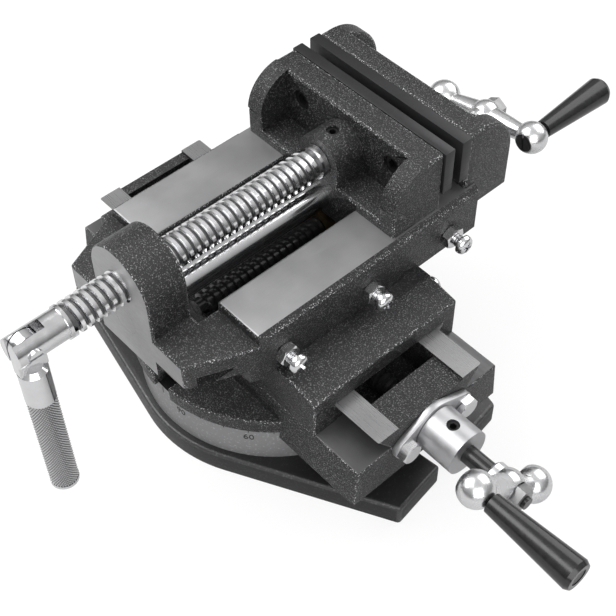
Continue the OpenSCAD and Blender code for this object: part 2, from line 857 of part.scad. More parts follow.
module lower_bracket_bolts() {
  color(chrome)
    at_lower_feed()
      feed_bracket_bolts();
}

module upper_bracket_bolts() {
  color(chrome)
    at_upper_feed()
      feed_bracket_bolts();
}

module lower_feed_screw() {
  color(dark_steel)
    at_lower_feed()
      feed_screw(lower_screw_len, end_block_t, lower_crank_reach);
}

module upper_feed_screw() {
  color(dark_steel)
    at_upper_feed()
      feed_screw(upper_screw_len, rear_wall_t, upper_crank_reach);
}

module lower_thrust_collar() {
  color(aluminium)
    at_lower_feed()
      feed_collar();
}

module upper_thrust_collar() {
  color(aluminium)
    at_upper_feed()
      feed_collar();
}

module lower_collar_set_screw() {
  color(dark_steel)
    at_lower_feed()
      collar_set_screw();
}

module upper_collar_set_screw() {
  color(dark_steel)
    at_upper_feed()
      collar_set_screw();
}

module lower_crank() {
  color(chrome)
    at_lower_crank()
      feed_crank(lower_crank_angle);
}

module upper_crank() {
  color(chrome)
    at_upper_crank()
      feed_crank(upper_crank_angle);
}

module lower_crank_nut() {
  color(chrome)
    at_lower_crank()
      crank_nut();
}

module upper_crank_nut() {
  color(chrome)
    at_upper_crank()
      crank_nut();
}

module lower_grip() {
  color(black_plastic)
    at_lower_crank()
      feed_grip(lower_crank_angle);
}

module upper_grip() {
  color(black_plastic)
    at_upper_crank()
      feed_grip(upper_crank_angle);
}

module lower_handle_stud() {
  color(chrome)
    at_lower_crank()
      handle_stud(lower_crank_angle);
}

module upper_handle_stud() {
  color(chrome)
    at_upper_crank()
      handle_stud(upper_crank_angle);
}

// Dovetail fits, drawn with the gib on the positive side

// the opening that slides over a dovetail, with room for the gib
module dovetail_opening(root_half, height, z_root) {
  top = height + way_clearance;
  plain = root_half + way_clearance;
  gibbed = plain + gib_run;
  translate([0, z_root])
    polygon([[-plain, -cut], [gibbed, -cut], [gibbed, 0], [gibbed + flank_run(top), top],
      [-plain - flank_run(top), top], [-plain, 0]]);
}

module gib_section(root_half, height, z_root) {
  top = height - gib_room;
  inner = root_half + way_clearance;
  translate([0, z_root])
    polygon([[inner + flank_run(gib_room), gib_room],
      [inner + gib_run + flank_run(gib_room), gib_room],
      [inner + gib_run + flank_run(top), top], [inner + flank_run(top), top]]);
}

// distance from the centre line to the gib's outer flank at the top of its screws
function gib_seat(root_half, rise) =
  root_half + way_clearance + gib_run + flank_run(rise + gib_screw_d / 2) + hole_clearance;

// one gib screw along X, from the gib to its head outside the wall
module gib_screw(seat, wall) {
  head_start = wall + gib_screw_reach - gib_head_h;
  bar_x(gib_screw_d / 2, seat, head_start + cut / 2);
  translate([head_start, 0, 0])
    rotate([0, 90, 0])
      rotate_extrude()
        intersection() {
          translate([0, gib_head_h - gib_head_d])
            circle(d = 2 * gib_head_d);
          square([gib_head_d / 2, gib_head_h]);
        }
}

module gib_nut(wall) {
  difference() {
    translate([wall, 0, 0])
      rotate([0, 90, 0])
        hex_prism(gib_nut_af, gib_nut_t);
    bar_x(gib_screw_d / 2 + hole_clearance, wall - cut, wall + gib_nut_t + cut);
  }
}

// the places of the three gib screws on the saddle, facing +Y
module at_lower_gib_screws() {
  for (i = [-1, 0, 1])
    translate([i * lower_gib_pitch, 0, lower_gib_z])
      rotate([0, 0, 90])
        children();
}

// the places of the three gib screws on the vise body, facing +X
module at_upper_gib_screws() {
  for (i = [-1, 0, 1])
    translate([0, skirt_mid + i * upper_gib_pitch, upper_gib_z])
      children();
}

// Saddle

module saddle_section() {
  foot = z_ledge + way_clearance;
  end_half = saddle_length / 2;
  polygon([[-end_half, foot], [end_half, foot], [end_half, z_shoulder - slope_drop],
    [shoulder_half, z_shoulder], [upper_root_half, z_shoulder], [upper_way_half, z_upper_way],
    [upper_trough_half, z_upper_way], [upper_trough_half, z_upper_floor],
    [-upper_trough_half, z_upper_floor], [-upper_trough_half, z_upper_way],
    [-upper_way_half, z_upper_way], [-upper_root_half, z_shoulder],
    [-shoulder_half, z_shoulder], [-end_half, z_shoulder - slope_drop]]);
}

module saddle() {
  color(iron)
    difference() {
      along_y(-saddle_width / 2, saddle_width / 2)
        saddle_section();
      along_x(-saddle_length / 2 - cut, saddle_length / 2 + cut)
        dovetail_opening(lower_root_half, lower_dovetail_h, z_ledge);
      at_lower_gib_screws()
        bar_x(gib_screw_d / 2 + hole_clearance, lower_root_half, saddle_width / 2 + cut);
      lower_nut_screw_places()
        cylinder(r = nut_screw_d / 2 + hole_clearance, h = nut_screw_len + cut);
      upper_nut_screw_places()
        translate([0, 0, -nut_screw_len - cut])
          cylinder(r = nut_screw_d / 2 + hole_clearance, h = nut_screw_len + 2 * cut);
    }
}

module lower_gib() {
  color(ground_steel)
    along_x(-saddle_length / 2, saddle_length / 2)
      gib_section(lower_root_half, lower_dovetail_h, z_ledge);
}

module lower_gib_screws() {
  color(chrome)
    at_lower_gib_screws()
      gib_screw(gib_seat(lower_root_half, lower_gib_z - z_ledge), saddle_width / 2);
}

module lower_gib_nuts() {
  color(chrome)
    at_lower_gib_screws()
      gib_nut(saddle_width / 2);
}

// Feed nuts

module lower_nut_screw_places() {
  for (side = [-1, 1])
    translate([-lower_nut_offset, side * nut_screw_pitch / 2, lower_nut_top])
      children();
}

module upper_nut_screw_places() {
  for (side = [-1, 1])
    translate([side * nut_screw_pitch / 2, upper_nut_offset + upper_nut_screw_shift, z_upper_floor])
      children();
}

module lower_feed_nut() {
  color(bronze)
    difference() {
      block([-lower_nut_offset - feed_nut_l / 2, -feed_nut_w / 2, lower_nut_foot],
        [-lower_nut_offset + feed_nut_l / 2, feed_nut_w / 2, lower_nut_top]);
      translate([0, 0, z_lower_screw])
        bar_x(feed_screw_d / 2 + shaft_clearance, -lower_nut_offset - feed_nut_l,
          -lower_nut_offset + feed_nut_l);
      lower_nut_screw_places() {
        translate([0, 0, lower_nut_foot - lower_nut_top - cut])
          cylinder(r = nut_screw_d / 2 + hole_clearance, h = lower_nut_top - lower_nut_foot + 2 * cut);
        translate([0, 0, lower_nut_foot - lower_nut_top - cut])
          cylinder(r = nut_head_d / 2 + hole_clearance, h = nut_head_h + cut);
      }
    }
}

module lower_feed_nut_screws() {
  color(dark_steel)
    lower_nut_screw_places() {
      translate([0, 0, lower_nut_foot - lower_nut_top])
        cylinder(d = nut_head_d, h = nut_head_h);
      translate([0, 0, lower_nut_foot - lower_nut_top])
        cylinder(d = nut_screw_d, h = lower_nut_top - lower_nut_foot + nut_screw_len);
    }
}

module upper_feed_nut() {
  color(bronze)
    difference() {
      block([-feed_nut_w / 2, upper_nut_offset - feed_nut_l / 2, z_upper_floor],
        [feed_nut_w / 2, upper_nut_offset + feed_nut_l / 2, upper_nut_top]);
      bar_y(feed_screw_d / 2 + shaft_clearance, upper_nut_offset - feed_nut_l,
        upper_nut_offset + feed_nut_l, 0, z_upper_screw);
      upper_nut_screw_places() {
        translate([0, 0, -cut])
          cylinder(r = nut_screw_d / 2 + hole_clearance, h = upper_nut_top - z_upper_floor + 2 * cut);
        translate([0, 0, upper_nut_top - z_upper_floor - nut_head_h])
          cylinder(r = nut_head_d / 2 + hole_clearance, h = nut_head_h + cut);
      }
    }
}

module upper_feed_nut_screws() {
  color(dark_steel)
    upper_nut_screw_places() {
      translate([0, 0, -nut_screw_len])
        cylinder(d = nut_screw_d, h = nut_screw_len + upper_nut_top - z_upper_floor - nut_head_h / 2);
      translate([0, 0, upper_nut_top - z_upper_floor - nut_head_h])
        cylinder(d = nut_head_d, h = nut_head_h);
    }
}

// Vise body

// the two rails with their ways, and the skirts that grip the upper dovetail
module rail_section() {
  foot = z_shoulder + way_clearance;
  polygon([[-body_half, foot], [body_half, foot], [body_half, z_way - way_chamfer],
    [body_half - way_chamfer, z_way], [-body_half + way_chamfer, z_way],
    [-body_half, z_way - way_chamfer]]);
}

module wing_outline() {
  polygon([[-wing_front_half, -body_front], [wing_front_half, -body_front],
    [body_half, -body_front + wing_corner], [body_half, -way_front],
    [-body_half, -way_front], [-body_half, -body_front + wing_corner]]);
}

// the front block: boss for the vise screw, wings, and nose for the guide bar
module front_block() {
  along_y(-body_front, -boss_rear) {
    translate([0, z_vise_screw])
      circle(r = boss_half);
    translate([-boss_half, z_nose])
      square([2 * boss_half, z_vise_screw - z_nose]);
  }
  translate([0, 0, z_wing - wing_t])
    linear_extrude(wing_t)
      wing_outline();
}

// the front ends of the skirts, under the wings
module skirt_ends() {
  foot = z_shoulder + way_clearance;
  translate([0, 0, foot])
    linear_extrude(z_wing - foot)
      intersection() {
        wing_outline();
        translate([-body_half, -skirt_front])
          square([2 * body_half, skirt_front - way_front]);
      }
}

// a side gusset of the fixed jaw, in Y and Z
module fixed_gusset_section() {
  difference() {
    translate([fixed_face, z_fixed_foot])
      square([fixed_jaw_t, z_jaw_top - z_fixed_foot]);
    translate([fixed_back - fixed_round_r, z_jaw_top - fixed_round_r])
      corner_waste(fixed_round_r);
  }
}

// draws a gusset's section at each end of a jaw
module at_jaw_ends() {
  along_x(casting_half - gusset_t, casting_half)
    children();
  along_x(-casting_half, gusset_t - casting_half)
    children();
}

module fixed_jaw_block() {
  wall_half = casting_half - gusset_t;
  at_jaw_ends()
    fixed_gusset_section();
  block([-wall_half, fixed_face, z_fixed_foot], [wall_half, fixed_face + fixed_wall_t, z_jaw_top]);
  block([-wall_half, fixed_face, z_fixed_foot], [wall_half, fixed_back, z_way]);
}

module plate_screw_places(y) {
  for (side = [-1, 1])
    translate([side * plate_screw_pitch / 2, y, z_plate_screw])
      children();
}

module vise_body() {
  color(iron)
    difference() {
      union() {
        along_y(-way_front, skirt_rear)
          rail_section();
        skirt_ends();
        front_block();
        fixed_jaw_block();
        block([-rear_wall_half, rear_face - rear_wall_t, z_rear_foot],
          [rear_wall_half, rear_face, z_fixed_foot + rear_wall_overlap]);
      }
      along_y(-body_front + nose_t, rear_face - rear_wall_t)
        dovetail_opening(upper_root_half, upper_dovetail_h, z_shoulder);
      block([-channel_half, -boss_rear, z_shoulder - cut], [channel_half, fixed_face, z_way + cut]);
      bar_y(vise_screw_d / 2 + shaft_clearance, -body_front - cut, -boss_rear + cut, 0, z_vise_screw);
      bar_y(guide_bar_d / 2 + hole_clearance, -body_front - cut, fixed_face + guide_bar_seat,
        0, z_guide_bar);
      plate_screw_places(fixed_face)
        bar_y(plate_screw_d / 2 + hole_clearance, -cut, plate_screw_grip + cut, 0, 0);
      at_upper_gib_screws()
        bar_x(gib_screw_d / 2 + hole_clearance, upper_root_half, body_half + cut);
      at_upper_feed()
        bar_x(feed_journal_d / 2 + shaft_clearance, -rear_wall_t - cut, cut);
      at_upper_feed()
        bracket_bolt_holes();
    }
}

module guide_bar() {
  color(chrome)
    bar_y(guide_bar_d / 2, -body_front, fixed_face + guide_bar_seat, 0, z_guide_bar);
}

module upper_gib() {
  color(ground_steel)
    along_y(-skirt_front, skirt_rear)
      gib_section(upper_root_half, upper_dovetail_h, z_shoulder);
}

module upper_gib_screws() {
  color(chrome)
    at_upper_gib_screws()
      gib_screw(gib_seat(upper_root_half, upper_gib_z - z_shoulder), body_half);
}

module upper_gib_nuts() {
  color(chrome)
    at_upper_gib_screws()
      gib_nut(body_half);
}

// Jaws

module jaw_plate(y) {
  block([-jaw_width / 2, y, z_plate_foot], [jaw_width / 2, y + plate_t, z_jaw_top]);
}

module fixed_jaw_plate() {
  color(dark_steel)
    difference() {
      jaw_plate(fixed_plate_face);
      plate_screw_places(fixed_plate_face) {
        bar_y(plate_screw_d / 2 + hole_clearance, -cut, plate_t + cut, 0, 0);
        bar_y(plate_head_d / 2 + hole_clearance, -cut, fixed_head_sink + fixed_head_h, 0, 0);
      }
    }
}

module fixed_jaw_plate_screws() {
  color(dark_steel)
    plate_screw_places(fixed_plate_face) {
      bar_y(plate_head_d / 2, fixed_head_sink, fixed_head_sink + fixed_head_h, 0, 0);
      bar_y(plate_screw_d / 2, fixed_head_sink + cut, plate_t + plate_screw_grip, 0, 0);
    }
}

module movable_jaw_plate() {
  color(dark_steel)
    difference() {
      jaw_plate(movable_face);
      plate_screw_places(movable_face)
        bar_y(plate_screw_d / 2 + hole_clearance, -cut, plate_thread_l + end_clearance, 0, 0);
    }
}

// a side gusset of the movable jaw, in Y and Z
module movable_gusset_section() {
  foot = z_way + way_clearance;
  difference() {
    translate([movable_front, foot])
      square([movable_jaw_l, z_jaw_top - foot]);
    translate([movable_front + movable_round_r, z_jaw_top - movable_round_r])
      mirror([1, 0])
        corner_waste(movable_round_r);
  }
}

module movable_jaw() {
  foot = z_way + way_clearance;
  key_half = channel_half - way_clearance;
  wall_half = casting_half - gusset_t;
  color(iron)
    difference() {
      union() {
        at_jaw_ends()
          movable_gusset_section();
        block([-wall_half, movable_wall_front, foot], [wall_half, movable_face, z_jaw_top]);
        block([-wall_half, movable_front, foot], [wall_half, movable_face, foot + jaw_foot_t]);
        along_y(movable_front, movable_wall_front + cut) {
          translate([0, z_vise_screw])
            circle(r = jaw_boss_r);
          translate([-jaw_boss_r, foot])
            square([2 * jaw_boss_r, z_vise_screw - foot]);
        }
        block([-key_half, movable_front, z_way - jaw_key_drop], [key_half, movable_face, foot + cut]);
      }
      bar_y(vise_journal_d / 2 + shaft_clearance, movable_front - cut,
        movable_front + vise_journal_l + end_clearance, 0, z_vise_screw);
      bar_y(guide_bar_d / 2 + shaft_clearance, movable_front - cut, movable_face + cut, 0, z_guide_bar);
      translate([0, retaining_y, z_vise_screw])
        cylinder(r = retaining_screw_d / 2 + hole_clearance, h = jaw_boss_r + cut);
      plate_screw_places(0) {
        bar_y(plate_screw_d / 2 + hole_clearance, movable_wall_front - cut, movable_face + cut, 0, 0);
        bar_y(plate_head_d / 2 + hole_clearance, movable_wall_front - cut, plate_head_seat, 0, 0);
      }
    }
}

module movable_jaw_plate_screws() {
  head_start = plate_head_seat - plate_head_h;
  color(dark_steel)
    plate_screw_places(0)
      difference() {
        union() {
          bar_y(plate_head_d / 2, head_start, plate_head_seat, 0, 0);
          bar_y(plate_screw_d / 2, plate_head_seat - cut, movable_face + plate_thread_l, 0, 0);
        }
        translate([0, head_start - cut, 0])
          rotate([-90, 0, 0])
            cylinder(d = plate_screw_d, h = plate_head_h / 2 + cut, $fn = 6);
      }
}

module jaw_retaining_screw() {
  seat = vise_journal_d / 2 - groove_depth + hole_clearance;
  screw_l = jaw_boss_r - seat - set_screw_sink;
  color(dark_steel)
    translate([0, retaining_y, z_vise_screw + seat])
      difference() {
        cylinder(d = retaining_screw_d, h = screw_l);
        translate([0, 0, screw_l - set_socket_l])
          cylinder(r = retaining_screw_d * socket_share, h = set_socket_l + cut, $fn = 6);
      }
}

// Vise screw and its folding handle

module vise_screw() {
  slot_end = pivot_y + tongue_end_r + yoke_slot_room;
  slot_half = tongue_t / 2 + end_clearance;
  groove_half = retaining_screw_d / 2 + end_clearance;
  color(chrome)
    difference() {
      union() {
        bar_y(yoke_d / 2, yoke_tip, yoke_start, 0, z_vise_screw);
        bar_y(vise_screw_d / 2, yoke_start - cut, movable_front - end_clearance, 0, z_vise_screw);
        bar_y(vise_journal_d / 2, movable_front - cut, movable_front + vise_journal_l, 0, z_vise_screw);
      }
      translate([0, retaining_y, z_vise_screw])
        rotate([-90, 0, 0])
          rotate_extrude()
            translate([vise_journal_d / 2 - groove_depth, -groove_half])
              square([groove_depth + cut, 2 * groove_half]);
      block([-slot_half, yoke_tip - cut, z_vise_screw - yoke_d],
        [slot_half, slot_end, z_vise_screw + yoke_d]);
      translate([0, pivot_y, z_vise_screw])
        bar_x(pivot_d / 2 + hole_clearance, -yoke_d, yoke_d);
      translate([0, pivot_y, z_vise_screw])
        bar_x(pivot_head_d / 2 + hole_clearance, pivot_head_seat, yoke_d);
    }
}

module handle_pivot_screw() {
  color(chrome)
    translate([0, pivot_y, z_vise_screw])
      difference() {
        union() {
          bar_x(pivot_d / 2, -pivot_head_seat, pivot_head_seat + pivot_head_h / 2);
          bar_x(pivot_head_d / 2, pivot_head_seat, pivot_head_seat + pivot_head_h);
        }
        translate([pivot_head_seat + pivot_head_h / 2, -pivot_head_d, -pivot_slot_w / 2])
          cube([pivot_head_h, 2 * pivot_head_d, pivot_slot_w]);
      }
}

module crank_handle() {
  color(chrome)
    translate([0, pivot_y, z_vise_screw])
      difference() {
        union() {
          along_x(-tongue_t / 2, tongue_t / 2) {
            circle(r = tongue_end_r);
            translate([-tongue_end_r, -tongue_l - cut])
              square([2 * tongue_end_r, tongue_l + cut]);
          }
          translate([0, 0, -handle_l])
            rotate_extrude()
              polygon([[0, 0], [handle_d / 2 - handle_tip_bevel, 0], [handle_d / 2, handle_tip_bevel],
                [handle_d / 2, handle_l - tongue_l - handle_shoulder_bevel],
                [handle_d / 2 - handle_shoulder_bevel, handle_l - tongue_l], [0, handle_l - tongue_l]]);
        }
        bar_x(pivot_d / 2 + shaft_clearance, -tongue_t, tongue_t);
      }
}

base();
lower_slide();
swivel_t_bolts();
swivel_nuts();
lower_bearing_bracket();
lower_bracket_bolts();
lower_feed_screw();
lower_thrust_collar();
lower_collar_set_screw();
lower_crank();
lower_crank_nut();
lower_grip();
lower_handle_stud();
saddle();
lower_gib();
lower_gib_screws();
lower_gib_nuts();
lower_feed_nut();
lower_feed_nut_screws();
upper_feed_nut();
upper_feed_nut_screws();
vise_body();
guide_bar();
upper_gib();
upper_gib_screws();
upper_gib_nuts();
upper_bearing_bracket();
upper_bracket_bolts();
fixed_jaw_plate();
fixed_jaw_plate_screws();
upper_feed_screw();
upper_thrust_collar();
upper_collar_set_screw();
upper_crank();
upper_crank_nut();
upper_grip();
upper_handle_stud();
movable_jaw();
movable_jaw_plate();
movable_jaw_plate_screws();
jaw_retaining_screw();
vise_screw();
handle_pivot_screw();
crank_handle();
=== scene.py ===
import math

import bmesh
import bpy
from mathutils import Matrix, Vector


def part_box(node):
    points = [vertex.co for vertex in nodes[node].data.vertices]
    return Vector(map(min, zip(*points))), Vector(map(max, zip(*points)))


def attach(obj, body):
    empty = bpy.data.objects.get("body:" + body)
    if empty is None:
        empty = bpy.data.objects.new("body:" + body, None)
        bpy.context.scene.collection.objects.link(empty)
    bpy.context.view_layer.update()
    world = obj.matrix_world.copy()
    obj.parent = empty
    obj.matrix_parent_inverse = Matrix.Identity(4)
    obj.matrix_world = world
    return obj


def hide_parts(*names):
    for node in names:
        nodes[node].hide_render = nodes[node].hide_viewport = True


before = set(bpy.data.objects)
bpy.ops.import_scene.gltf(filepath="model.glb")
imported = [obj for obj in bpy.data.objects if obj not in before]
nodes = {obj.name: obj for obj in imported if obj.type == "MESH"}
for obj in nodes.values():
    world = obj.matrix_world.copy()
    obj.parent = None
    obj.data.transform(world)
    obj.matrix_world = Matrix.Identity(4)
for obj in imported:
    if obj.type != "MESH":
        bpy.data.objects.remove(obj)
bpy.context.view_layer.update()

scene = bpy.context.scene
MM = 0.001

# heights, faces and axes of the solids, in millimetres
FLANGE_TOP = 13.0
TURRET_TOP = 37.0
TURRET_R = 69.0
LEDGE = 56.0
LOWER_WAY = 68.0
SHOULDER = 81.0
WAY = 107.5
SCREW_AXIS = 122.0
LOWER_FEED_AXIS = 54.0
UPPER_FEED_AXIS = 78.0
LOWER_END = 104.5
REAR_FACE = 105.6
FRONT_FACE = -83.0
PIVOT_Y = -129.0
BODY_HALF = 52.5
SADDLE_HALF = 44.0

# distances in metres at which points of a mesh are one
MERGE = 0.00001
CASTING_MERGE = 0.000005
TURNING_MERGE = 0.000002

# angles in degrees: below the first, faces count as flat; above the others, edges are sharp
FLAT_ANGLE = 0.4
SHARP_ANGLE = 30
TURNED_ANGLE = 30
HEX_ANGLE = 20


# Hand tools

def start_clean():
    if bpy.context.object and bpy.context.object.mode != "OBJECT":
        bpy.ops.object.mode_set(mode="OBJECT")
    bpy.ops.object.select_all(action="DESELECT")


def pick(obj):
    start_clean()
    obj.select_set(True)
    bpy.context.view_layer.objects.active = obj


def open_all(obj):
    """Opens a piece in edit mode with all of it selected."""
    pick(obj)
    bpy.ops.object.mode_set(mode="EDIT")
    bpy.ops.mesh.select_all(action="SELECT")


def close():
    bpy.ops.object.mode_set(mode="OBJECT")


def apply_modifiers(obj):
    pick(obj)
    for modifier in list(obj.modifiers):
        bpy.ops.object.modifier_apply(modifier=modifier.name)


def tidy_mesh(obj, merge=MERGE):
    open_all(obj)
    bpy.ops.mesh.remove_doubles(threshold=merge)
    bpy.ops.mesh.normals_make_consistent(inside=False)
    close()


def settle(obj):
    pick(obj)
    bpy.ops.object.transform_apply(location=True, rotation=True, scale=True)


def smooth(obj, angle=35):
    pick(obj)
    bpy.ops.object.shade_smooth_by_angle(angle=math.radians(angle))


def join(objs, name):
    start_clean()
    for obj in objs:
        obj.select_set(True)
    bpy.context.view_layer.objects.active = objs[0]
    if len(objs) > 1:
        bpy.ops.object.join()
    objs[0].name = name
    return objs[0]


def new_object(name, data):
    obj = bpy.data.objects.new(name, data)
    scene.collection.objects.link(obj)
    return obj


def copy_of(obj, name):
    return new_object(name, obj.data.copy())


def block(size_mm, place_mm, turn=0.0):
    """A square block of three lengths, turned about Z and moved to its place."""
    bpy.ops.mesh.primitive_cube_add(size=1, rotation=(0, 0, turn))
    obj = bpy.context.object
    obj.scale = Vector(size_mm) * MM
    obj.location = Vector(place_mm) * MM
    settle(obj)
    return obj


def casting_copy(node, name, finishes=()):
    """A copy of a solid's mesh, merged and freed of the flat faces' inner edges."""
    obj = copy_of(nodes[node], name)
    obj.data.materials.clear()
    for finish in finishes:
        obj.data.materials.append(finish)
    pick(obj)
    if obj.data.has_custom_normals:
        bpy.ops.mesh.customdata_custom_splitnormals_clear()
    open_all(obj)
    bpy.ops.mesh.remove_doubles(threshold=CASTING_MERGE)
    bpy.ops.mesh.dissolve_limited(angle_limit=math.radians(FLAT_ANGLE))
    close()
    return obj


def round_edges(obj, width_mm, chosen, segments=3, shortest=1.5, finish=-1):
    """Rounds the outer edges of a casting that are long enough and pass the test."""
    mesh = bmesh.new()
    mesh.from_mesh(obj.data)
    weight = mesh.edges.layers.float.new("bevel_weight_edge")
    for edge in mesh.edges:
        if len(edge.link_faces) != 2 or not edge.is_convex or edge.calc_length() < shortest * MM:
            continue
        if edge.calc_face_angle() < math.radians(SHARP_ANGLE):
            continue
        if chosen((edge.verts[0].co + edge.verts[1].co) / (2 * MM)):
            edge[weight] = 1.0
    mesh.to_mesh(obj.data)
    mesh.free()
    bevel = obj.modifiers.new("rounded edges", "BEVEL")
    bevel.width = width_mm * MM
    bevel.segments = segments
    bevel.limit_method = "WEIGHT"
    bevel.use_clamp_overlap = False
    bevel.material = finish
    apply_modifiers(obj)
    tidy_mesh(obj, CASTING_MERGE)


def keep_side(obj, axis, at_mm, upper):
    """Cuts a piece square across an axis and keeps one side of it, closed."""
    place = [0, 0, 0]
    normal = [0, 0, 0]
    place["xyz".index(axis)] = at_mm * MM
    normal["xyz".index(axis)] = 1
    open_all(obj)
    bpy.ops.mesh.bisect(plane_co=place, plane_no=normal, use_fill=True,
                        clear_inner=upper, clear_outer=not upper)
    close()
    return obj


def cut_with(obj, tool, operation="DIFFERENCE"):
    """Cuts a piece with a tool piece, which is then thrown away."""
    cut = obj.modifiers.new("cut", "BOOLEAN")
    cut.operation = operation
    cut.solver = "EXACT"
    cut.object = tool
    apply_modifiers(obj)
    bpy.data.objects.remove(tool, do_unlink=True)


def lay_along(obj, axis, place):
    """Turns a piece made along +Z to lie along an axis and moves it to a place in millimetres."""
    turns = {"x": (0, math.pi / 2, 0), "y": (-math.pi / 2, 0, 0)}
    obj.rotation_euler = turns[axis]
    obj.location = Vector(place) * MM
    settle(obj)
    return obj


def hand_over(obj, body, node_names, materials=()):
    """Gives a finished piece its finishes and its place in the frame."""
    for material in materials:
        obj.data.materials.append(material)
    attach(obj, body)
    if node_names:
        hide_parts(*node_names)
    return obj


def mark_faces(obj, index, test):
    """Gives the faces that pass the test the material of that index."""
    for face in obj.data.polygons:
        if test(face.center / MM, face.normal):
            face.material_index = index


# Node groups shared by the finishes

def new_group(name, inputs, outputs):
    group = bpy.data.node_groups.new(name, "ShaderNodeTree")
    for label, kind, value in inputs:
        socket = group.interface.new_socket(label, in_out="INPUT", socket_type=kind)
        socket.default_value = value
    for label, kind in outputs:
        group.interface.new_socket(label, in_out="OUTPUT", socket_type=kind)
    return group


def add(tree, kind, x=0, y=0, **values):
    node = tree.nodes.new(kind)
    node.location = (x, y)
    for key, value in values.items():
        setattr(node, key, value)
    return node


def ramp(tree, low, high, x=0, y=0, start=0.0, end=1.0):
    """Takes a value between two limits to a range from start to end."""
    node = add(tree, "ShaderNodeMapRange", x, y)
    node.inputs["From Min"].default_value = low
    node.inputs["From Max"].default_value = high
    node.inputs["To Min"].default_value = start
    node.inputs["To Max"].default_value = end
    return node


def noise(tree, vector, scale, detail, x=0, y=0):
    node = add(tree, "ShaderNodeTexNoise", x, y)
    node.inputs["Scale"].default_value = scale
    node.inputs["Detail"].default_value = detail
    tree.links.new(vector, node.inputs["Vector"])
    return node


# the skin of the castings: a grain per metre, and how far its pits sink
GRAIN = 1300.0
GRAIN_ROUGHNESS = 0.65
PIT_SMOOTHNESS = 0.3
PIT_SHARE = -0.5
HIGH_SPOTS = (0.34, 0.5)


def cast_skin_group():
    """The pebbled skin of paint over a sand casting: a height and a mask of its high spots."""
    group = new_group("cast skin", [("Grain", "NodeSocketFloat", GRAIN)],
                      [("Height", "NodeSocketFloat"), ("High spots", "NodeSocketFloat")])
    given = add(group, "NodeGroupInput", -800)
    result = add(group, "NodeGroupOutput", 600)
    place = add(group, "ShaderNodeTexCoord", -800, 300)
    fine = noise(group, place.outputs["Object"], GRAIN, 2.0, -500, 300)
    fine.inputs["Roughness"].default_value = GRAIN_ROUGHNESS
    pits = add(group, "ShaderNodeTexVoronoi", -500, -100, feature="SMOOTH_F1")
    pits.inputs["Smoothness"].default_value = PIT_SMOOTHNESS
    group.links.new(place.outputs["Object"], pits.inputs["Vector"])
    for texture in (fine, pits):
        group.links.new(given.outputs["Grain"], texture.inputs["Scale"])
    sunk = add(group, "ShaderNodeMath", -200, -50, operation="MULTIPLY")
    sunk.inputs[1].default_value = PIT_SHARE
    group.links.new(pits.outputs["Distance"], sunk.inputs[0])
    height = add(group, "ShaderNodeMath", 0, 100, operation="ADD")
    group.links.new(fine.outputs["Fac"], height.inputs[0])
    group.links.new(sunk.outputs[0], height.inputs[1])
    group.links.new(height.outputs[0], result.inputs["Height"])
    high = ramp(group, *HIGH_SPOTS, 300, -100)
    group.links.new(height.outputs[0], high.inputs["Value"])
    group.links.new(high.outputs["Result"], result.inputs["High spots"])
    return group


def grind_group():
    """Fine lines left by grinding, as a value, with a slow cloud for stain."""
    group = new_group("grinding lines", [("Stretch", "NodeSocketVector", (60.0, 2500.0, 60.0))],
                      [("Lines", "NodeSocketFloat"), ("Cloud", "NodeSocketFloat")])
    given = add(group, "NodeGroupInput", -800)
    result = add(group, "NodeGroupOutput", 400)
    place = add(group, "ShaderNodeTexCoord", -800, 200)
    drawn_out = add(group, "ShaderNodeVectorMath", -500, 150, operation="MULTIPLY")
    group.links.new(place.outputs["Object"], drawn_out.inputs[0])
    group.links.new(given.outputs["Stretch"], drawn_out.inputs[1])
    lines = noise(group, drawn_out.outputs[0], 1.0, 4.0, -250, 150)
    cloud = noise(group, place.outputs["Object"], 45.0, 3.0, -250, -150)
    group.links.new(lines.outputs["Fac"], result.inputs["Lines"])
    group.links.new(cloud.outputs["Fac"], result.inputs["Cloud"])
    return group


CAST_SKIN = cast_skin_group()
GRINDING = grind_group()


# Finishes

SKIN_DEPTH = 0.5
LINE_DEPTH = 0.05
GROUND_METALLIC = 0.75
# dark colour painted into the grooves of threads and knurls as shade
GROOVE_SHADE = (0.07, 0.07, 0.072)
CREST_STEEL = (0.82, 0.82, 0.83)


def blank(name):
    """A new finish, with its node tree and its shader."""
    material = bpy.data.materials.new(name)
    material.use_nodes = True
    tree = material.node_tree
    return material, tree, tree.nodes["Principled BSDF"]


def place_group(tree, group, x, y, **values):
    node = add(tree, "ShaderNodeGroup", x, y, node_tree=group)
    for key, value in values.items():
        node.inputs[key].default_value = value
    return node


def colour_from(tree, shader, mask, dark, light):
    """Colours a finish from dark to light by a mask."""
    mix = add(tree, "ShaderNodeMix", -300, 200, data_type="RGBA")
    mix.inputs["A"].default_value = (*dark, 1)
    mix.inputs["B"].default_value = (*light, 1)
    tree.links.new(mask, mix.inputs["Factor"])
    tree.links.new(mix.outputs["Result"], shader.inputs["Base Color"])


def rough_from(tree, shader, value, low, high, start, end):
    """Roughens a finish from start to end by a value between two limits."""
    spread = ramp(tree, low, high, -300, -100, start, end)
    tree.links.new(value, spread.inputs["Value"])
    tree.links.new(spread.outputs["Result"], shader.inputs["Roughness"])


def bump_from(tree, shader, height, strength, depth_mm):
    bump = add(tree, "ShaderNodeBump", 0, -400)
    bump.inputs["Strength"].default_value = strength
    bump.inputs["Distance"].default_value = depth_mm * MM
    tree.links.new(height, bump.inputs["Height"])
    tree.links.new(bump.outputs["Normal"], shader.inputs["Normal"])


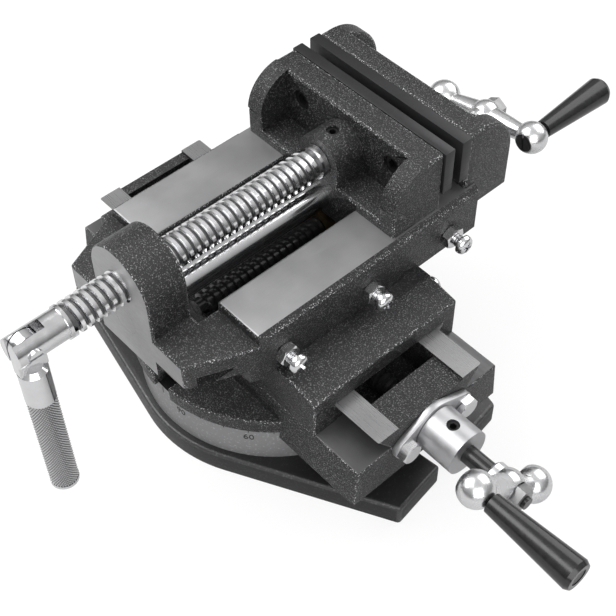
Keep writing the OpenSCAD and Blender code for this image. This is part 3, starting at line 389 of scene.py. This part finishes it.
def cast_paint(name, colour, light, grain, strength, rough_low, rough_high):
    """Paint over a casting, glossier on the high spots of its skin, which are coloured lighter as a painted
    glint on its grain.
    """
    material, tree, shader = blank(name)
    skin = place_group(tree, CAST_SKIN, -700, 0, Grain=grain)
    high_spots = skin.outputs["High spots"]
    # the grain is real; its high spots coloured lighter are painted glints
    colour_from(tree, shader, high_spots, colour, light)
    rough_from(tree, shader, high_spots, 0.0, 1.0, rough_high, rough_low)
    bump_from(tree, shader, skin.outputs["Height"], strength, SKIN_DEPTH)
    return material


def ground_metal(name, dark, light, stretch, rough=0.38, strength=0.12):
    """Ground or blackened metal, with fine lines in its gloss and a cloud of stain."""
    material, tree, shader = blank(name)
    ground = place_group(tree, GRINDING, -700, 0, Stretch=stretch)
    colour_from(tree, shader, ground.outputs["Cloud"], dark, light)
    shader.inputs["Metallic"].default_value = GROUND_METALLIC
    rough_from(tree, shader, ground.outputs["Lines"], 0.25, 0.75, rough - 0.08, rough + 0.1)
    bump_from(tree, shader, ground.outputs["Lines"], strength, LINE_DEPTH)
    return material


def clouded(name, dark, light, rough_low, rough_high, scale,
            metallic=1.0, detail=4.0, strength=0.05, depth_mm=0.05):
    """A smooth finish with a faint cloud in its colour and its gloss."""
    material, tree, shader = blank(name)
    place = add(tree, "ShaderNodeTexCoord", -900, 0)
    cloud = noise(tree, place.outputs["Object"], scale, detail, -700, 0).outputs["Fac"]
    colour_from(tree, shader, cloud, dark, light)
    shader.inputs["Metallic"].default_value = metallic
    rough_from(tree, shader, cloud, 0.3, 0.7, rough_low, rough_high)
    bump_from(tree, shader, cloud, strength, depth_mm)
    return material


def gloss_black(name):
    return clouded(name, (0.006, 0.006, 0.006), (0.016, 0.016, 0.017), 0.16, 0.26, 350.0,
                   metallic=0.0, detail=3.0, strength=0.04, depth_mm=0.1)


def threaded_metal(name, axis_mm, along, root_mm, crest_mm):
    """Bright steel whose grooves are coloured dark as painted shade, by distance from the piece's axis."""
    material, tree, shader = blank(name)
    place = add(tree, "ShaderNodeTexCoord", -1300, 0)
    offset = add(tree, "ShaderNodeVectorMath", -1100, 0, operation="SUBTRACT")
    offset.inputs[1].default_value = [value * MM for value in axis_mm]
    across = add(tree, "ShaderNodeVectorMath", -900, 0, operation="MULTIPLY")
    across.inputs[1].default_value = [0 if axis == along else 1 for axis in "xyz"]
    reach = add(tree, "ShaderNodeVectorMath", -700, 0, operation="LENGTH")
    tree.links.new(place.outputs["Object"], offset.inputs[0])
    tree.links.new(offset.outputs[0], across.inputs[0])
    tree.links.new(across.outputs[0], reach.inputs[0])
    out_of_groove = ramp(tree, root_mm * MM, crest_mm * MM, -500, 0)
    tree.links.new(reach.outputs["Value"], out_of_groove.inputs["Value"])
    colour_from(tree, shader, out_of_groove.outputs["Result"], GROOVE_SHADE, CREST_STEEL)
    shader.inputs["Metallic"].default_value = 1.0
    rough_from(tree, shader, out_of_groove.outputs["Result"], 0.0, 1.0, 0.5, 0.16)
    return material


PAINT = cast_paint("black cast paint", (0.005, 0.005, 0.0052), (0.17, 0.17, 0.173),
                   1500, 0.9, 0.24, 0.4)
# rounded edges of the castings: the paint made far lighter on its high spots, a painted highlight along the
# edges
EDGE_HIGHLIGHT_PAINT = cast_paint("paint with painted edge highlight", (0.012, 0.012, 0.0125), (0.55, 0.55, 0.56),
                    1500, 0.9, 0.22, 0.36)
FLANGE_PAINT = cast_paint("base paint", (0.008, 0.008, 0.0083), (0.02, 0.02, 0.0205),
                          800, 0.12, 0.32, 0.42)
# rounded flange edges of the base: lighter than the base paint, a painted highlight along the rim
FLANGE_EDGE_HIGHLIGHT = cast_paint("base paint with painted edge highlight", (0.03, 0.03, 0.031), (0.09, 0.09, 0.092),
                         800, 0.15, 0.25, 0.36)
TURRET_GREY = cast_paint("turned grey paint", (0.15, 0.15, 0.153), (0.22, 0.22, 0.223),
                         700, 0.05, 0.38, 0.46)
TICK_GREY = ground_metal("scale marks", (0.03, 0.03, 0.03), (0.05, 0.05, 0.05),
                         (900.0, 900.0, 900.0), 0.5, 0.05)
WAYS = ground_metal("ground ways", (0.17, 0.17, 0.173), (0.32, 0.32, 0.323),
                    (2500.0, 60.0, 60.0))
LOWER_WAYS = ground_metal("ground lower ways", (0.2, 0.2, 0.203), (0.34, 0.34, 0.343),
                          (60.0, 2500.0, 60.0), 0.3)
# planed iron at the foot of the dovetails and on their undercuts, darker than the ground ways as painted
# shade under the saddle
SHADED_LEDGES = ground_metal("planed ledges with painted shade", (0.05, 0.05, 0.052), (0.15, 0.15, 0.152),
                      (60.0, 900.0, 60.0), 0.42, 0.2)
FACED = ground_metal("faced iron", (0.26, 0.26, 0.263), (0.4, 0.4, 0.403),
                     (300.0, 60.0, 900.0), 0.5, 0.2)
OXIDE = ground_metal("black oxide", (0.015, 0.015, 0.016), (0.03, 0.03, 0.031),
                     (60.0, 200.0, 2500.0), 0.36, 0.1)
NUT_STEEL = ground_metal("crank nut steel", (0.22, 0.22, 0.223), (0.34, 0.34, 0.343),
                         (400.0, 400.0, 400.0), 0.36)
GIB_STEEL = ground_metal("gib strip", (0.3, 0.3, 0.3), (0.42, 0.42, 0.42),
                         (60.0, 60.0, 2500.0))
CHROME = clouded("plated steel", (0.66, 0.66, 0.67), (0.78, 0.78, 0.79), 0.1, 0.18, 220.0)
CRANK = clouded("polished crank", (0.62, 0.62, 0.63), (0.76, 0.76, 0.77), 0.22, 0.32, 160.0)
ALUMINIUM = clouded("satin aluminium", (0.42, 0.42, 0.43), (0.53, 0.53, 0.54), 0.36, 0.48, 260.0)
# feed nuts: bronze made very dark, painted shade for the dark channel they sit in
SHADED_BRONZE = clouded("nut bronze with painted shade", (0.09, 0.065, 0.03), (0.13, 0.095, 0.05), 0.4, 0.55, 200.0)
GRIP = gloss_black("gloss black grip")
SCREW_STEEL = clouded("vise screw steel", (0.62, 0.62, 0.63), (0.76, 0.76, 0.77),
                      0.14, 0.24, 240.0)
# the thread and the knurl: bright steel with painted shade in their grooves
THREAD = threaded_metal("vise screw thread", (0, 0, SCREW_AXIS), "y", 6.3, 7.5)
KNURL = threaded_metal("knurled handle", (0, PIVOT_Y, 0), "z", 6.3, 6.72)
SHAFT = gloss_black("blackened shaft")
PLATE = ground_metal("jaw plate", (0.03, 0.03, 0.031), (0.05, 0.05, 0.052),
                     (60.0, 60.0, 1800.0), 0.4, 0.1)


# Castings: copies of the solids with rounded edges and machined faces

# limits of the rounded edges and machined faces, in millimetres
BODY_EDGES_FROM = 95.5
WAY_EDGE = 48.0
WAY_END = 75.0
BOSS_HALF = 25.0
SADDLE_END = 55.0
SADDLE_EDGES_FROM = 58.0
TONGUE_HALF = 46.0
SLIDE_EDGES_FROM = 38.0
TROUGH_HALF = 25.0
FLANGE_INNER_R = 60.0
FACING = 0.95


def near(value, target, slack=0.25):
    return abs(value - target) < slack


def make_casting(node, finishes, width_mm, chosen, segments=3):
    """A casting with rounded edges, which have the last of its finishes."""
    piece = casting_copy(node, node + "_casting", finishes)
    # the rounded edges take the last finish, which carries a painted edge highlight
    round_edges(piece, width_mm, chosen, segments, finish=len(finishes) - 1)
    smooth(piece)
    hand_over(piece, node, [node])
    return piece


def make_castings():
    body = make_casting(
        "vise_body", [PAINT, WAYS, FACED, EDGE_HIGHLIGHT_PAINT], width_mm=1.3,
        chosen=lambda m: m.z > BODY_EDGES_FROM and not (near(m.z, WAY, 2) and abs(m.x) > WAY_EDGE))
    mark_faces(body, 1, lambda c, n: n.z > FACING and near(c.z, WAY) and c.y < WAY_END)
    mark_faces(body, 2, lambda c, n: n.y < -FACING and near(c.y, FRONT_FACE) and abs(c.x) < BOSS_HALF)

    make_casting("movable_jaw", [PAINT, EDGE_HIGHLIGHT_PAINT], width_mm=1.2, chosen=lambda m: m.z > WAY + 1)

    saddle = make_casting(
        "saddle", [PAINT, LOWER_WAYS, EDGE_HIGHLIGHT_PAINT], width_mm=1.0,
        chosen=lambda m: abs(m.x) > SADDLE_END and m.z > SADDLE_EDGES_FROM)
    mark_faces(saddle, 1, lambda c, n: c.z > SHOULDER + 0.5 and n.z > -0.9 and abs(c.x) < TONGUE_HALF)

    slide = make_casting(
        "lower_slide", [PAINT, LOWER_WAYS, SHADED_LEDGES, EDGE_HIGHLIGHT_PAINT], width_mm=0.9,
        chosen=lambda m: (m.z > SLIDE_EDGES_FROM and not near(m.z, LOWER_WAY, 2)
                          and abs(m.y) > TROUGH_HALF))
    mark_faces(slide, 1, lambda c, n: n.z > FACING and near(c.z, LOWER_WAY))
    mark_faces(slide, 2, lambda c, n: n.z > FACING and near(c.z, LEDGE))
    mark_faces(slide, 2, lambda c, n: LEDGE < c.z < LOWER_WAY and n.z < -0.3)

    base = make_casting(
        "base", [FLANGE_PAINT, TURRET_GREY, FLANGE_EDGE_HIGHLIGHT], width_mm=1.6,
        chosen=lambda m: m.z < FLANGE_TOP + 2 and m.xy.length > FLANGE_INNER_R, segments=4)
    mark_faces(base, 1, lambda c, n: c.z > FLANGE_TOP + 2 and c.xy.length > TURRET_R - 3)

    bar = casting_copy("guide_bar", "guide_bar_ground", [CHROME, FACED])
    smooth(bar)
    hand_over(bar, "vise_body", ["guide_bar"])
    mark_faces(bar, 1, lambda c, n: abs(n.y) > FACING)


# Degree scale, in degrees and millimetres
SCALE_TURN = 8.0
TICK_STEP = 5
LABEL_EVERY = 6
LONG_TICK = 4.2
SHORT_TICK = 2.6
TICK_DEPTH = 0.16
TICK_WIDTH = 0.4
TICK_DROP = 0.8
LABEL_SIZE = 5.5
LABEL_RAISE = 0.02
LABEL_DEPTH = 0.05
LABEL_DROP = 10.4


def round_turret(turn, radius, z):
    return Vector((radius * math.cos(turn), radius * math.sin(turn), z))


def scale_number(value, turn):
    bpy.ops.object.text_add()
    label = bpy.context.object
    label.data.body = str(value if value <= 180 else 360 - value)
    label.data.size = LABEL_SIZE * MM
    label.data.align_x = "CENTER"
    label.data.extrude = LABEL_DEPTH * MM
    label.data.resolution_u = 3
    label.rotation_euler = (math.pi / 2, 0, turn + math.pi / 2)
    label.location = round_turret(turn, TURRET_R + LABEL_RAISE, TURRET_TOP - LABEL_DROP) * MM
    pick(label)
    bpy.ops.object.convert(target="MESH")
    label = bpy.context.object
    settle(label)
    return label


def make_scale():
    """Degree ticks every five degrees round the turret, with a plain number at every third long one."""
    marks = []
    for step in range(360 // TICK_STEP):
        turn = math.radians(step * TICK_STEP + SCALE_TURN)
        height = LONG_TICK if step % 2 == 0 else SHORT_TICK
        place = round_turret(turn, TURRET_R, TURRET_TOP - TICK_DROP - height / 2)
        marks.append(block((TICK_DEPTH, TICK_WIDTH, height), place, turn))
        if step % LABEL_EVERY == 0:
            marks.append(scale_number(step * TICK_STEP, turn))
    scale = join(marks, "degree_scale")
    tidy_mesh(scale)
    hand_over(scale, "base", [], [TICK_GREY])


# Turned bars and threads

def drawn_outline(name, points):
    """A line through (radius, height) points in millimetres, beside the Z axis."""
    mesh = bpy.data.meshes.new(name)
    mesh.from_pydata([(radius * MM, 0, height * MM) for radius, height in points],
                     [(i, i + 1) for i in range(len(points) - 1)], [])
    return new_object(name, mesh)


def round_bar(name, points, segments=48):
    """A turned bar along +Z from (radius, height) points, spun round its axis."""
    bar = drawn_outline(name, points)
    open_all(bar)
    bpy.ops.mesh.spin(steps=segments, angle=2 * math.pi, center=(0, 0, 0), axis=(0, 0, 1))
    close()
    tidy_mesh(bar, TURNING_MERGE)
    return bar


def plain_bar(name, radius, low, high, segments):
    return round_bar(name, [(0, low), (radius, low), (radius, high), (0, high)], segments)


# shares of the pitch, and how far the core stands out of the thread's root in millimetres
GROOVE_SHARE = 0.2
FLANK_SHARE = 0.18
CORE_OVERLAP = 0.02


def thread_piece(radius, depth, pitch, length, steps=32):
    """A closed bar along +Z with a thread: one tooth is drawn, then screwed up a plain core."""
    root = radius - depth
    groove = GROOVE_SHARE * pitch
    flank = FLANK_SHARE * pitch
    thread = drawn_outline("thread", [(root, 0.0), (root, groove), (radius, groove + flank),
                                      (radius, pitch - flank), (root, pitch)])
    screw = thread.modifiers.new("thread", "SCREW")
    screw.axis = "Z"
    screw.angle = 2 * math.pi
    screw.screw_offset = pitch * MM
    screw.iterations = max(int(length / pitch) - 1, 1)
    screw.steps = steps
    screw.render_steps = steps
    screw.use_merge_vertices = True
    screw.merge_threshold = TURNING_MERGE
    apply_modifiers(thread)
    tidy_mesh(thread, TURNING_MERGE)
    core = plain_bar("core", root + CORE_OVERLAP, 0, length, steps)
    return join([thread, core], "thread")


# Screws: sizes of their threads and where the solids' ends are cut, in millimetres
PITCH = 4.0
VISE_SCREW_R = 8.0
VISE_THREAD_DEPTH = 1.6
VISE_THREAD_FROM = -112.2
VISE_THREAD_LENGTH = 137.4
YOKE_CUT = -110.4
END_CUT = 25.0
FEED_SCREW_R = 5.5
FEED_THREAD_DEPTH = 1.4


def make_vise_screw():
    yoke = keep_side(casting_copy("vise_screw", "yoke"), "y", YOKE_CUT, False)
    end = keep_side(casting_copy("vise_screw", "end"), "y", END_CUT, True)
    thread = thread_piece(VISE_SCREW_R, VISE_THREAD_DEPTH, PITCH, VISE_THREAD_LENGTH, steps=40)
    lay_along(thread, "y", (0, VISE_THREAD_FROM, SCREW_AXIS))
    yoke.data.materials.append(SCREW_STEEL)
    end.data.materials.append(SCREW_STEEL)
    thread.data.materials.append(THREAD)
    screw = join([yoke, end, thread], "vise_screw_turned")
    smooth(screw, TURNED_ANGLE)
    hand_over(screw, "vise_screw", ["vise_screw"])


def make_feed_screws():
    for end, axis, cut, length, place in (
            ("lower", "x", 84.0, 172.6, (-88.5, 0, LOWER_FEED_AXIS)),
            ("upper", "y", 89.0, 135.5, (0, -46.4, UPPER_FEED_AXIS))):
        node = end + "_feed_screw"
        journal = keep_side(casting_copy(node, "journal"), axis, cut, True)
        thread = thread_piece(FEED_SCREW_R, FEED_THREAD_DEPTH, PITCH, length)
        lay_along(thread, axis, place)
        screw = join([journal, thread], node + "_turned")
        smooth(screw, TURNED_ANGLE)
        hand_over(screw, end + "_screw", [node], [SHAFT])


# Folding handle, in millimetres
KNURL_R = 6.75
KNURL_DEPTH = 0.42
KNURL_LOW = 26.0
KNURL_HIGH = 88.0
KNURL_COLUMNS = 64
KNURL_ROW = 0.95
KNURL_OVERLAP = 0.2


def knurled_sleeve(name):
    """A sleeve along Z whose rings of points are raised by turns, which leaves rows of diamonds."""
    start_clean()
    rows = int((KNURL_HIGH - KNURL_LOW) / KNURL_ROW)
    step = (KNURL_HIGH - KNURL_LOW) / rows
    low_r = KNURL_R - KNURL_DEPTH
    bpy.ops.mesh.primitive_circle_add(vertices=KNURL_COLUMNS, radius=low_r * MM, fill_type="NOTHING",
                                      location=(0, 0, KNURL_LOW * MM))
    sleeve = bpy.context.object
    sleeve.name = name
    settle(sleeve)
    open_all(sleeve)
    for _ in range(rows):
        bpy.ops.mesh.extrude_region_move(TRANSFORM_OT_translate={"value": (0, 0, step * MM)})
    close()
    for point in sleeve.data.vertices:
        ring = round((point.co.z / MM - KNURL_LOW) / step)
        column = round(math.atan2(point.co.y, point.co.x) / (2 * math.pi) * KNURL_COLUMNS)
        if (ring + column) % 2 == 0 and 0 < ring < rows:
            point.co.x *= KNURL_R / low_r
            point.co.y *= KNURL_R / low_r
    open_all(sleeve)
    bpy.ops.mesh.quads_convert_to_tris(quad_method="SHORTEST_DIAGONAL")
    bpy.ops.mesh.normals_make_consistent(inside=False)
    close()
    return sleeve


def make_handle():
    neck = keep_side(casting_copy("crank_handle", "handle neck"), "z", KNURL_HIGH - KNURL_OVERLAP, True)
    tip = keep_side(casting_copy("crank_handle", "handle tip"), "z", KNURL_LOW + KNURL_OVERLAP, False)
    sleeve = knurled_sleeve("handle knurl")
    sleeve.location = (0, PIVOT_Y * MM, 0)
    settle(sleeve)
    plain = join([neck, tip], "handle_turned")
    smooth(plain, TURNED_ANGLE)
    plain.data.materials.append(CHROME)
    sleeve.data.materials.append(KNURL)
    handle = join([plain, sleeve], "handle_turned")
    hand_over(handle, "crank_handle", ["crank_handle"])


# Ball cranks, in millimetres and degrees; outlines are (radius, height) points
CRANK_ARM = 31.5
WEIGHT_ARM = 29.5
HANDLE_BALL = 8.4
WEIGHT_BALL = 8.8
HUB_R = 8.5
ARM_R_AT_BALLS = 4.25
ARM_R_AT_HUB = 6.25
LOWER_REACH = 46.3
UPPER_REACH = 41.0
LOWER_CRANK_ANGLE = 45.0
UPPER_CRANK_ANGLE = 10.0
HUB_FRONT = 5.0
SPOT_FACE_R = 7.2
SPOT_FACE_TO = 14.0
HUB_OUTLINE = [(0, -9), (6, -9), (7, -8), (7, 4.4), (6.4, HUB_FRONT), (0, HUB_FRONT)]
STUD_FACE = 6.4
STUD_OUTLINE = [(0, -0.4), (4.9, -0.4), (4.9, 0.2), (4.4, 0.5), (0, 0.5)]
STUD_SLOT = (1.3, 11.0, 0.9)
STUD_TOP = 0.5


def arc(centre, radius, start, end, steps=16):
    """Points (radius, height) of a round outline about a place on the axis, by degrees from the top."""
    turns = [math.radians(start + (end - start) * i / steps) for i in range(steps + 1)]
    return [(abs(radius * math.sin(turn)), centre + radius * math.cos(turn)) for turn in turns]


def crank_outline():
    at_weight = math.degrees(math.asin(ARM_R_AT_BALLS / WEIGHT_BALL))
    at_handle = math.degrees(math.asin(ARM_R_AT_BALLS / HANDLE_BALL))
    at_hub = math.degrees(math.asin(ARM_R_AT_HUB / HUB_R))
    return (arc(-WEIGHT_ARM, WEIGHT_BALL, 180, at_weight)
            + arc(0, HUB_R, 180 - at_hub, at_hub)
            + arc(CRANK_ARM, HANDLE_BALL, 180 - at_handle, 0))


def slotted_stud_end():
    stud = round_bar("stud", STUD_OUTLINE, segments=40)
    cut_with(stud, block(STUD_SLOT, (0, 0, STUD_TOP)))
    stud.rotation_euler = (0, -math.pi / 2, 0)
    stud.location = (-STUD_FACE * MM, 0, CRANK_ARM * MM)
    settle(stud)
    return stud


def make_cranks():
    """Ball cranks: arm and balls turned in one, the hub turned across it, a slotted stud end in the ball."""
    for end, angle, place, turn in (
            ("lower", LOWER_CRANK_ANGLE, (LOWER_END + LOWER_REACH, 0, LOWER_FEED_AXIS), 0),
            ("upper", UPPER_CRANK_ANGLE, (0, REAR_FACE + UPPER_REACH, UPPER_FEED_AXIS), math.pi / 2)):
        name = end + "_crank_turned"
        arm = round_bar("arm", crank_outline(), segments=64)
        keep_side(arm, "x", -STUD_FACE, True)
        spot_face = plain_bar("spot face", SPOT_FACE_R, HUB_FRONT, SPOT_FACE_TO, segments=64)
        cut_with(arm, lay_along(spot_face, "x", (0, 0, 0)))
        hub = lay_along(round_bar("hub", HUB_OUTLINE, segments=64), "x", (0, 0, 0))
        crank = join([arm, hub], name)
        crank.data.materials.append(CRANK)
        stud = slotted_stud_end()
        stud.data.materials.append(OXIDE)
        crank = join([crank, stud], name)
        crank.rotation_euler = (math.radians(90 - angle), 0, 0)
        settle(crank)
        crank.rotation_euler = (0, 0, turn)
        crank.location = Vector(place) * MM
        settle(crank)
        smooth(crank, TURNED_ANGLE)
        hand_over(crank, end + "_screw", [end + "_crank"])


# Fasteners, in millimetres, and in radians for how far each is turned
HEX_FLATS = 10.0
HEX_HEIGHT = 4.5
HEX_FACE_SHARE = 0.47
CHAMFER_SLOPE = 0.6
HEAD_OUTLINE = [(0, 0), (4.75, 0), (4.75, 1.3), (4.3, 2.4), (3.4, 3.1), (2.0, 3.5), (0, 3.6)]
HEAD_HEIGHT = 3.6
CROSS_BLADE = (1.25, 5.4, 2.6)
CROSS_HEIGHT = 3.0
GIB_SCREW_R = 3.0
GIB_THREAD_DEPTH = 0.5
GIB_PITCH = 1.0
GIB_SCREW_PROUD = 12.0
GIB_SCREW_TURNS = (0.5, 1.6, 2.7)
GIB_NUT_TURNS = (0.0, 0.3, 0.6)
BOLT_R = 3.0
BOLT_SHANK = 12.0
BOLT_DEPTH = 8.0
BOLT_REACH = 18.0
BRACKET_T = 3.5


def hex_blank(name, double):
    """A hexagon along +Z with its corners turned off at the top, or at both ends."""
    corner = HEX_FLATS / math.cos(math.pi / 6) / 2
    edge = HEX_FLATS * HEX_FACE_SHARE
    chamfer = (corner - edge) * CHAMFER_SLOPE
    low = [(0, 0), (edge, 0), (corner, chamfer)] if double else [(0, 0), (corner, 0)]
    high = [(corner + 0.01, HEX_HEIGHT - chamfer), (edge, HEX_HEIGHT), (0, HEX_HEIGHT)]
    bpy.ops.mesh.primitive_cylinder_add(vertices=6, radius=corner * MM, depth=HEX_HEIGHT * MM,
                                        location=(0, 0, HEX_HEIGHT / 2 * MM))
    hexagon = bpy.context.object
    hexagon.name = name
    settle(hexagon)
    cut_with(hexagon, round_bar("turning", low + high), "INTERSECT")
    return hexagon


def cross_head_screw(name, length):
    """A threaded screw along +Z with a domed head that has a cross recess."""
    head = round_bar("head", HEAD_OUTLINE)
    for turn in (0, math.pi / 2):
        cut_with(head, block(CROSS_BLADE, (0, 0, CROSS_HEIGHT), turn))
    head.location = (0, 0, (length - HEAD_HEIGHT) * MM)
    settle(head)
    thread = thread_piece(GIB_SCREW_R, GIB_THREAD_DEPTH, GIB_PITCH, length - CROSS_HEIGHT, steps=24)
    screw = join([thread, head], name)
    smooth(screw, TURNED_ANGLE)
    return screw


def along_axis(axis, out, side, z):
    """A place that lies out along an axis, to one side of it, at a height."""
    return (out, side, z) if axis == "x" else (side, out, z)


def turned_copy(obj, name, turn):
    copy = copy_of(obj, name)
    copy.rotation_euler = (0, 0, turn)
    settle(copy)
    return copy


def make_gib_screws():
    for end, body, axis, wall, z, sides in (
            ("upper", "vise_body", "x", BODY_HALF, 89.25, (-38.75, 12.25, 63.25)),
            ("lower", "saddle", "y", SADDLE_HALF, 62.0, (54.0, 0.0, -54.0))):
        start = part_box(end + "_gib_screws")[0]["xyz".index(axis)] / MM
        screw = cross_head_screw("gib screw", wall + GIB_SCREW_PROUD - start)
        nut = hex_blank("gib nut", True)
        screws = []
        nuts = []
        for side, screw_turn, nut_turn in zip(sides, GIB_SCREW_TURNS, GIB_NUT_TURNS):
            one = turned_copy(screw, "gib screw copy", screw_turn)
            screws.append(lay_along(one, axis, along_axis(axis, start, side, z)))
            one = turned_copy(nut, "gib nut copy", nut_turn)
            nuts.append(lay_along(one, axis, along_axis(axis, wall, side, z)))
        bpy.data.objects.remove(screw, do_unlink=True)
        bpy.data.objects.remove(nut, do_unlink=True)
        done = join(screws, end + "_gib_screws_turned")
        hand_over(done, body, [end + "_gib_screws"], [CHROME])
        done = join(nuts, end + "_gib_nuts_turned")
        smooth(done, HEX_ANGLE)
        hand_over(done, body, [end + "_gib_nuts"], [CHROME])


def make_bracket_bolts():
    for end, body, axis, face, z in (
            ("lower", "lower_slide", "x", LOWER_END, LOWER_FEED_AXIS),
            ("upper", "vise_body", "y", REAR_FACE, UPPER_FEED_AXIS)):
        bolts = []
        for side in (-BOLT_REACH, BOLT_REACH):
            head = hex_blank("bolt head", False)
            head.location = (0, 0, (BOLT_DEPTH + BRACKET_T) * MM)
            settle(head)
            shank = plain_bar("bolt shank", BOLT_R, 0, BOLT_SHANK, segments=24)
            bolt = join([head, shank], "bolt")
            bolts.append(lay_along(bolt, axis, along_axis(axis, face - BOLT_DEPTH, side, z)))
        done = join(bolts, end + "_bracket_bolts_turned")
        smooth(done, HEX_ANGLE)
        hand_over(done, body, [end + "_bracket_bolts"], [CHROME])


def make_small_copies():
    """Plates, brackets and collars with their edges broken."""
    for node, body, slot, finish, width in (
            ("fixed_jaw_plate", "vise_body", "black_oxide", PLATE, 0.5),
            ("movable_jaw_plate", "movable_jaw", "black_oxide", PLATE, 0.5),
            ("lower_thrust_collar", "lower_screw", "aluminium", ALUMINIUM, 0.8),
            ("upper_thrust_collar", "upper_screw", "aluminium", ALUMINIUM, 0.8),
            ("lower_bearing_bracket", "lower_slide", "aluminium", ALUMINIUM, 0.6),
            ("upper_bearing_bracket", "vise_body", "aluminium", ALUMINIUM, 0.6)):
        piece = casting_copy(node, node + "_edged")
        round_edges(piece, width, lambda m: True, segments=2, shortest=1.0)
        smooth(piece)
        hand_over(piece, body, [node], [finish])


def paint_nodes(names, material):
    for name in names:
        nodes[name].data.materials.clear()
        nodes[name].data.materials.append(material)


# Stage, in metres

FLOOR_GREY = 0.9
FLOOR_GREY_IN_GLOSS = 0.5
FLOOR_GLOW = 0.82
WORLD_HEIGHTS = (0.1, 0.85)
WORLD_LOW = 0.2
WORLD_HIGH = 0.75


def make_floor():
    """A pale floor that glows to the eye and is darker in the gloss of the metal."""
    bpy.ops.mesh.primitive_plane_add(size=6, location=(0, 0, -0.0002))
    floor = bpy.context.object
    floor.name = "floor"
    material, tree, shader = blank("pale floor")
    shader.inputs["Roughness"].default_value = 0.9
    glow = add(tree, "ShaderNodeEmission", 0, -300)
    glow.inputs["Color"].default_value = (1, 1, 1, 1)
    rays = add(tree, "ShaderNodeLightPath", -600, 300)
    share = add(tree, "ShaderNodeMath", -150, 300, operation="MULTIPLY")
    share.inputs[1].default_value = FLOOR_GLOW
    tree.links.new(rays.outputs["Is Camera Ray"], share.inputs[0])
    tone = ramp(tree, 0.0, 1.0, -350, 0, FLOOR_GREY, FLOOR_GREY_IN_GLOSS)
    tree.links.new(rays.outputs["Is Glossy Ray"], tone.inputs["Value"])
    tree.links.new(tone.outputs["Result"], shader.inputs["Base Color"])
    mix = add(tree, "ShaderNodeMixShader", 250, 0)
    tree.links.new(share.outputs[0], mix.inputs[0])
    tree.links.new(shader.outputs[0], mix.inputs[1])
    tree.links.new(glow.outputs[0], mix.inputs[2])
    tree.links.new(mix.outputs[0], tree.nodes["Material Output"].inputs["Surface"])
    floor.data.materials.append(material)


def make_world():
    """A white backdrop whose light grows from the horizon upwards."""
    world = bpy.data.worlds.new("studio")
    scene.world = world
    world.use_nodes = True
    tree = world.node_tree
    back = tree.nodes["Background"]
    back.inputs["Color"].default_value = (1, 1, 1, 1)
    sky = add(tree, "ShaderNodeTexCoord", -1100, -200)
    height = add(tree, "ShaderNodeSeparateXYZ", -900, -200)
    tree.links.new(sky.outputs["Generated"], height.inputs[0])
    bright = ramp(tree, *WORLD_HEIGHTS, -650, -200, WORLD_LOW, WORLD_HIGH)
    tree.links.new(height.outputs["Z"], bright.inputs["Value"])
    rays = add(tree, "ShaderNodeLightPath", -700, 200)
    seen = add(tree, "ShaderNodeMath", -450, 200, operation="MAXIMUM")
    tree.links.new(rays.outputs["Is Camera Ray"], seen.inputs[0])
    tree.links.new(rays.outputs["Is Transmission Ray"], seen.inputs[1])
    strength = add(tree, "ShaderNodeMix", -200, 0)
    strength.inputs["B"].default_value = 1.0
    tree.links.new(seen.outputs[0], strength.inputs["Factor"])
    tree.links.new(bright.outputs["Result"], strength.inputs["A"])
    tree.links.new(strength.outputs["Result"], back.inputs["Strength"])


def make_lights():
    for name, place, aim, size, power in (
            ("key", (-0.7, -0.5, 1.1), (0, 0, 0.08), 1.1, 17),
            ("fill", (1.0, -0.6, 0.8), (0, 0, 0.06), 1.2, 13),
            ("rim", (0.1, 1.1, 0.9), (0, 0, 0.1), 1.2, 10)):
        lamp = bpy.data.lights.new(name, "AREA")
        lamp.energy = power
        lamp.size = size
        holder = new_object(name, lamp)
        holder.location = place
        holder.rotation_euler = (Vector(aim) - Vector(place)).to_track_quat("-Z", "Y").to_euler()


def make_camera():
    camera = bpy.data.cameras.new("camera")
    camera.sensor_width = 36
    camera.lens = 72.87
    camera.shift_x = -0.0269
    camera.shift_y = 0.0220
    camera.clip_start = 0.01
    holder = new_object("camera", camera)
    holder.location = (0.30645, -0.24968, 0.51202)
    holder.rotation_euler = (math.radians(39.309), 0, math.radians(47.317))
    scene.camera = holder


make_camera()
make_floor()
make_world()
make_lights()
make_castings()
make_scale()
make_vise_screw()
make_feed_screws()
make_handle()
make_cranks()
make_gib_screws()
make_bracket_bolts()
make_small_copies()

# the handle studs take dark black oxide, which also stands as painted shade for the dark hole at the grips'
# ends
paint_nodes(["fixed_jaw_plate_screws", "movable_jaw_plate_screws", "jaw_retaining_screw", "swivel_t_bolts",
             "swivel_nuts", "lower_collar_set_screw", "upper_collar_set_screw", "lower_feed_nut_screws",
             "upper_feed_nut_screws", "lower_handle_stud", "upper_handle_stud"], OXIDE)
paint_nodes(["lower_gib", "upper_gib"], GIB_STEEL)
paint_nodes(["lower_feed_nut", "upper_feed_nut"], SHADED_BRONZE)
paint_nodes(["lower_grip", "upper_grip"], GRIP)
paint_nodes(["lower_crank_nut", "upper_crank_nut"], NUT_STEEL)
paint_nodes(["handle_pivot_screw"], CHROME)

scene.view_settings.view_transform = "Standard"
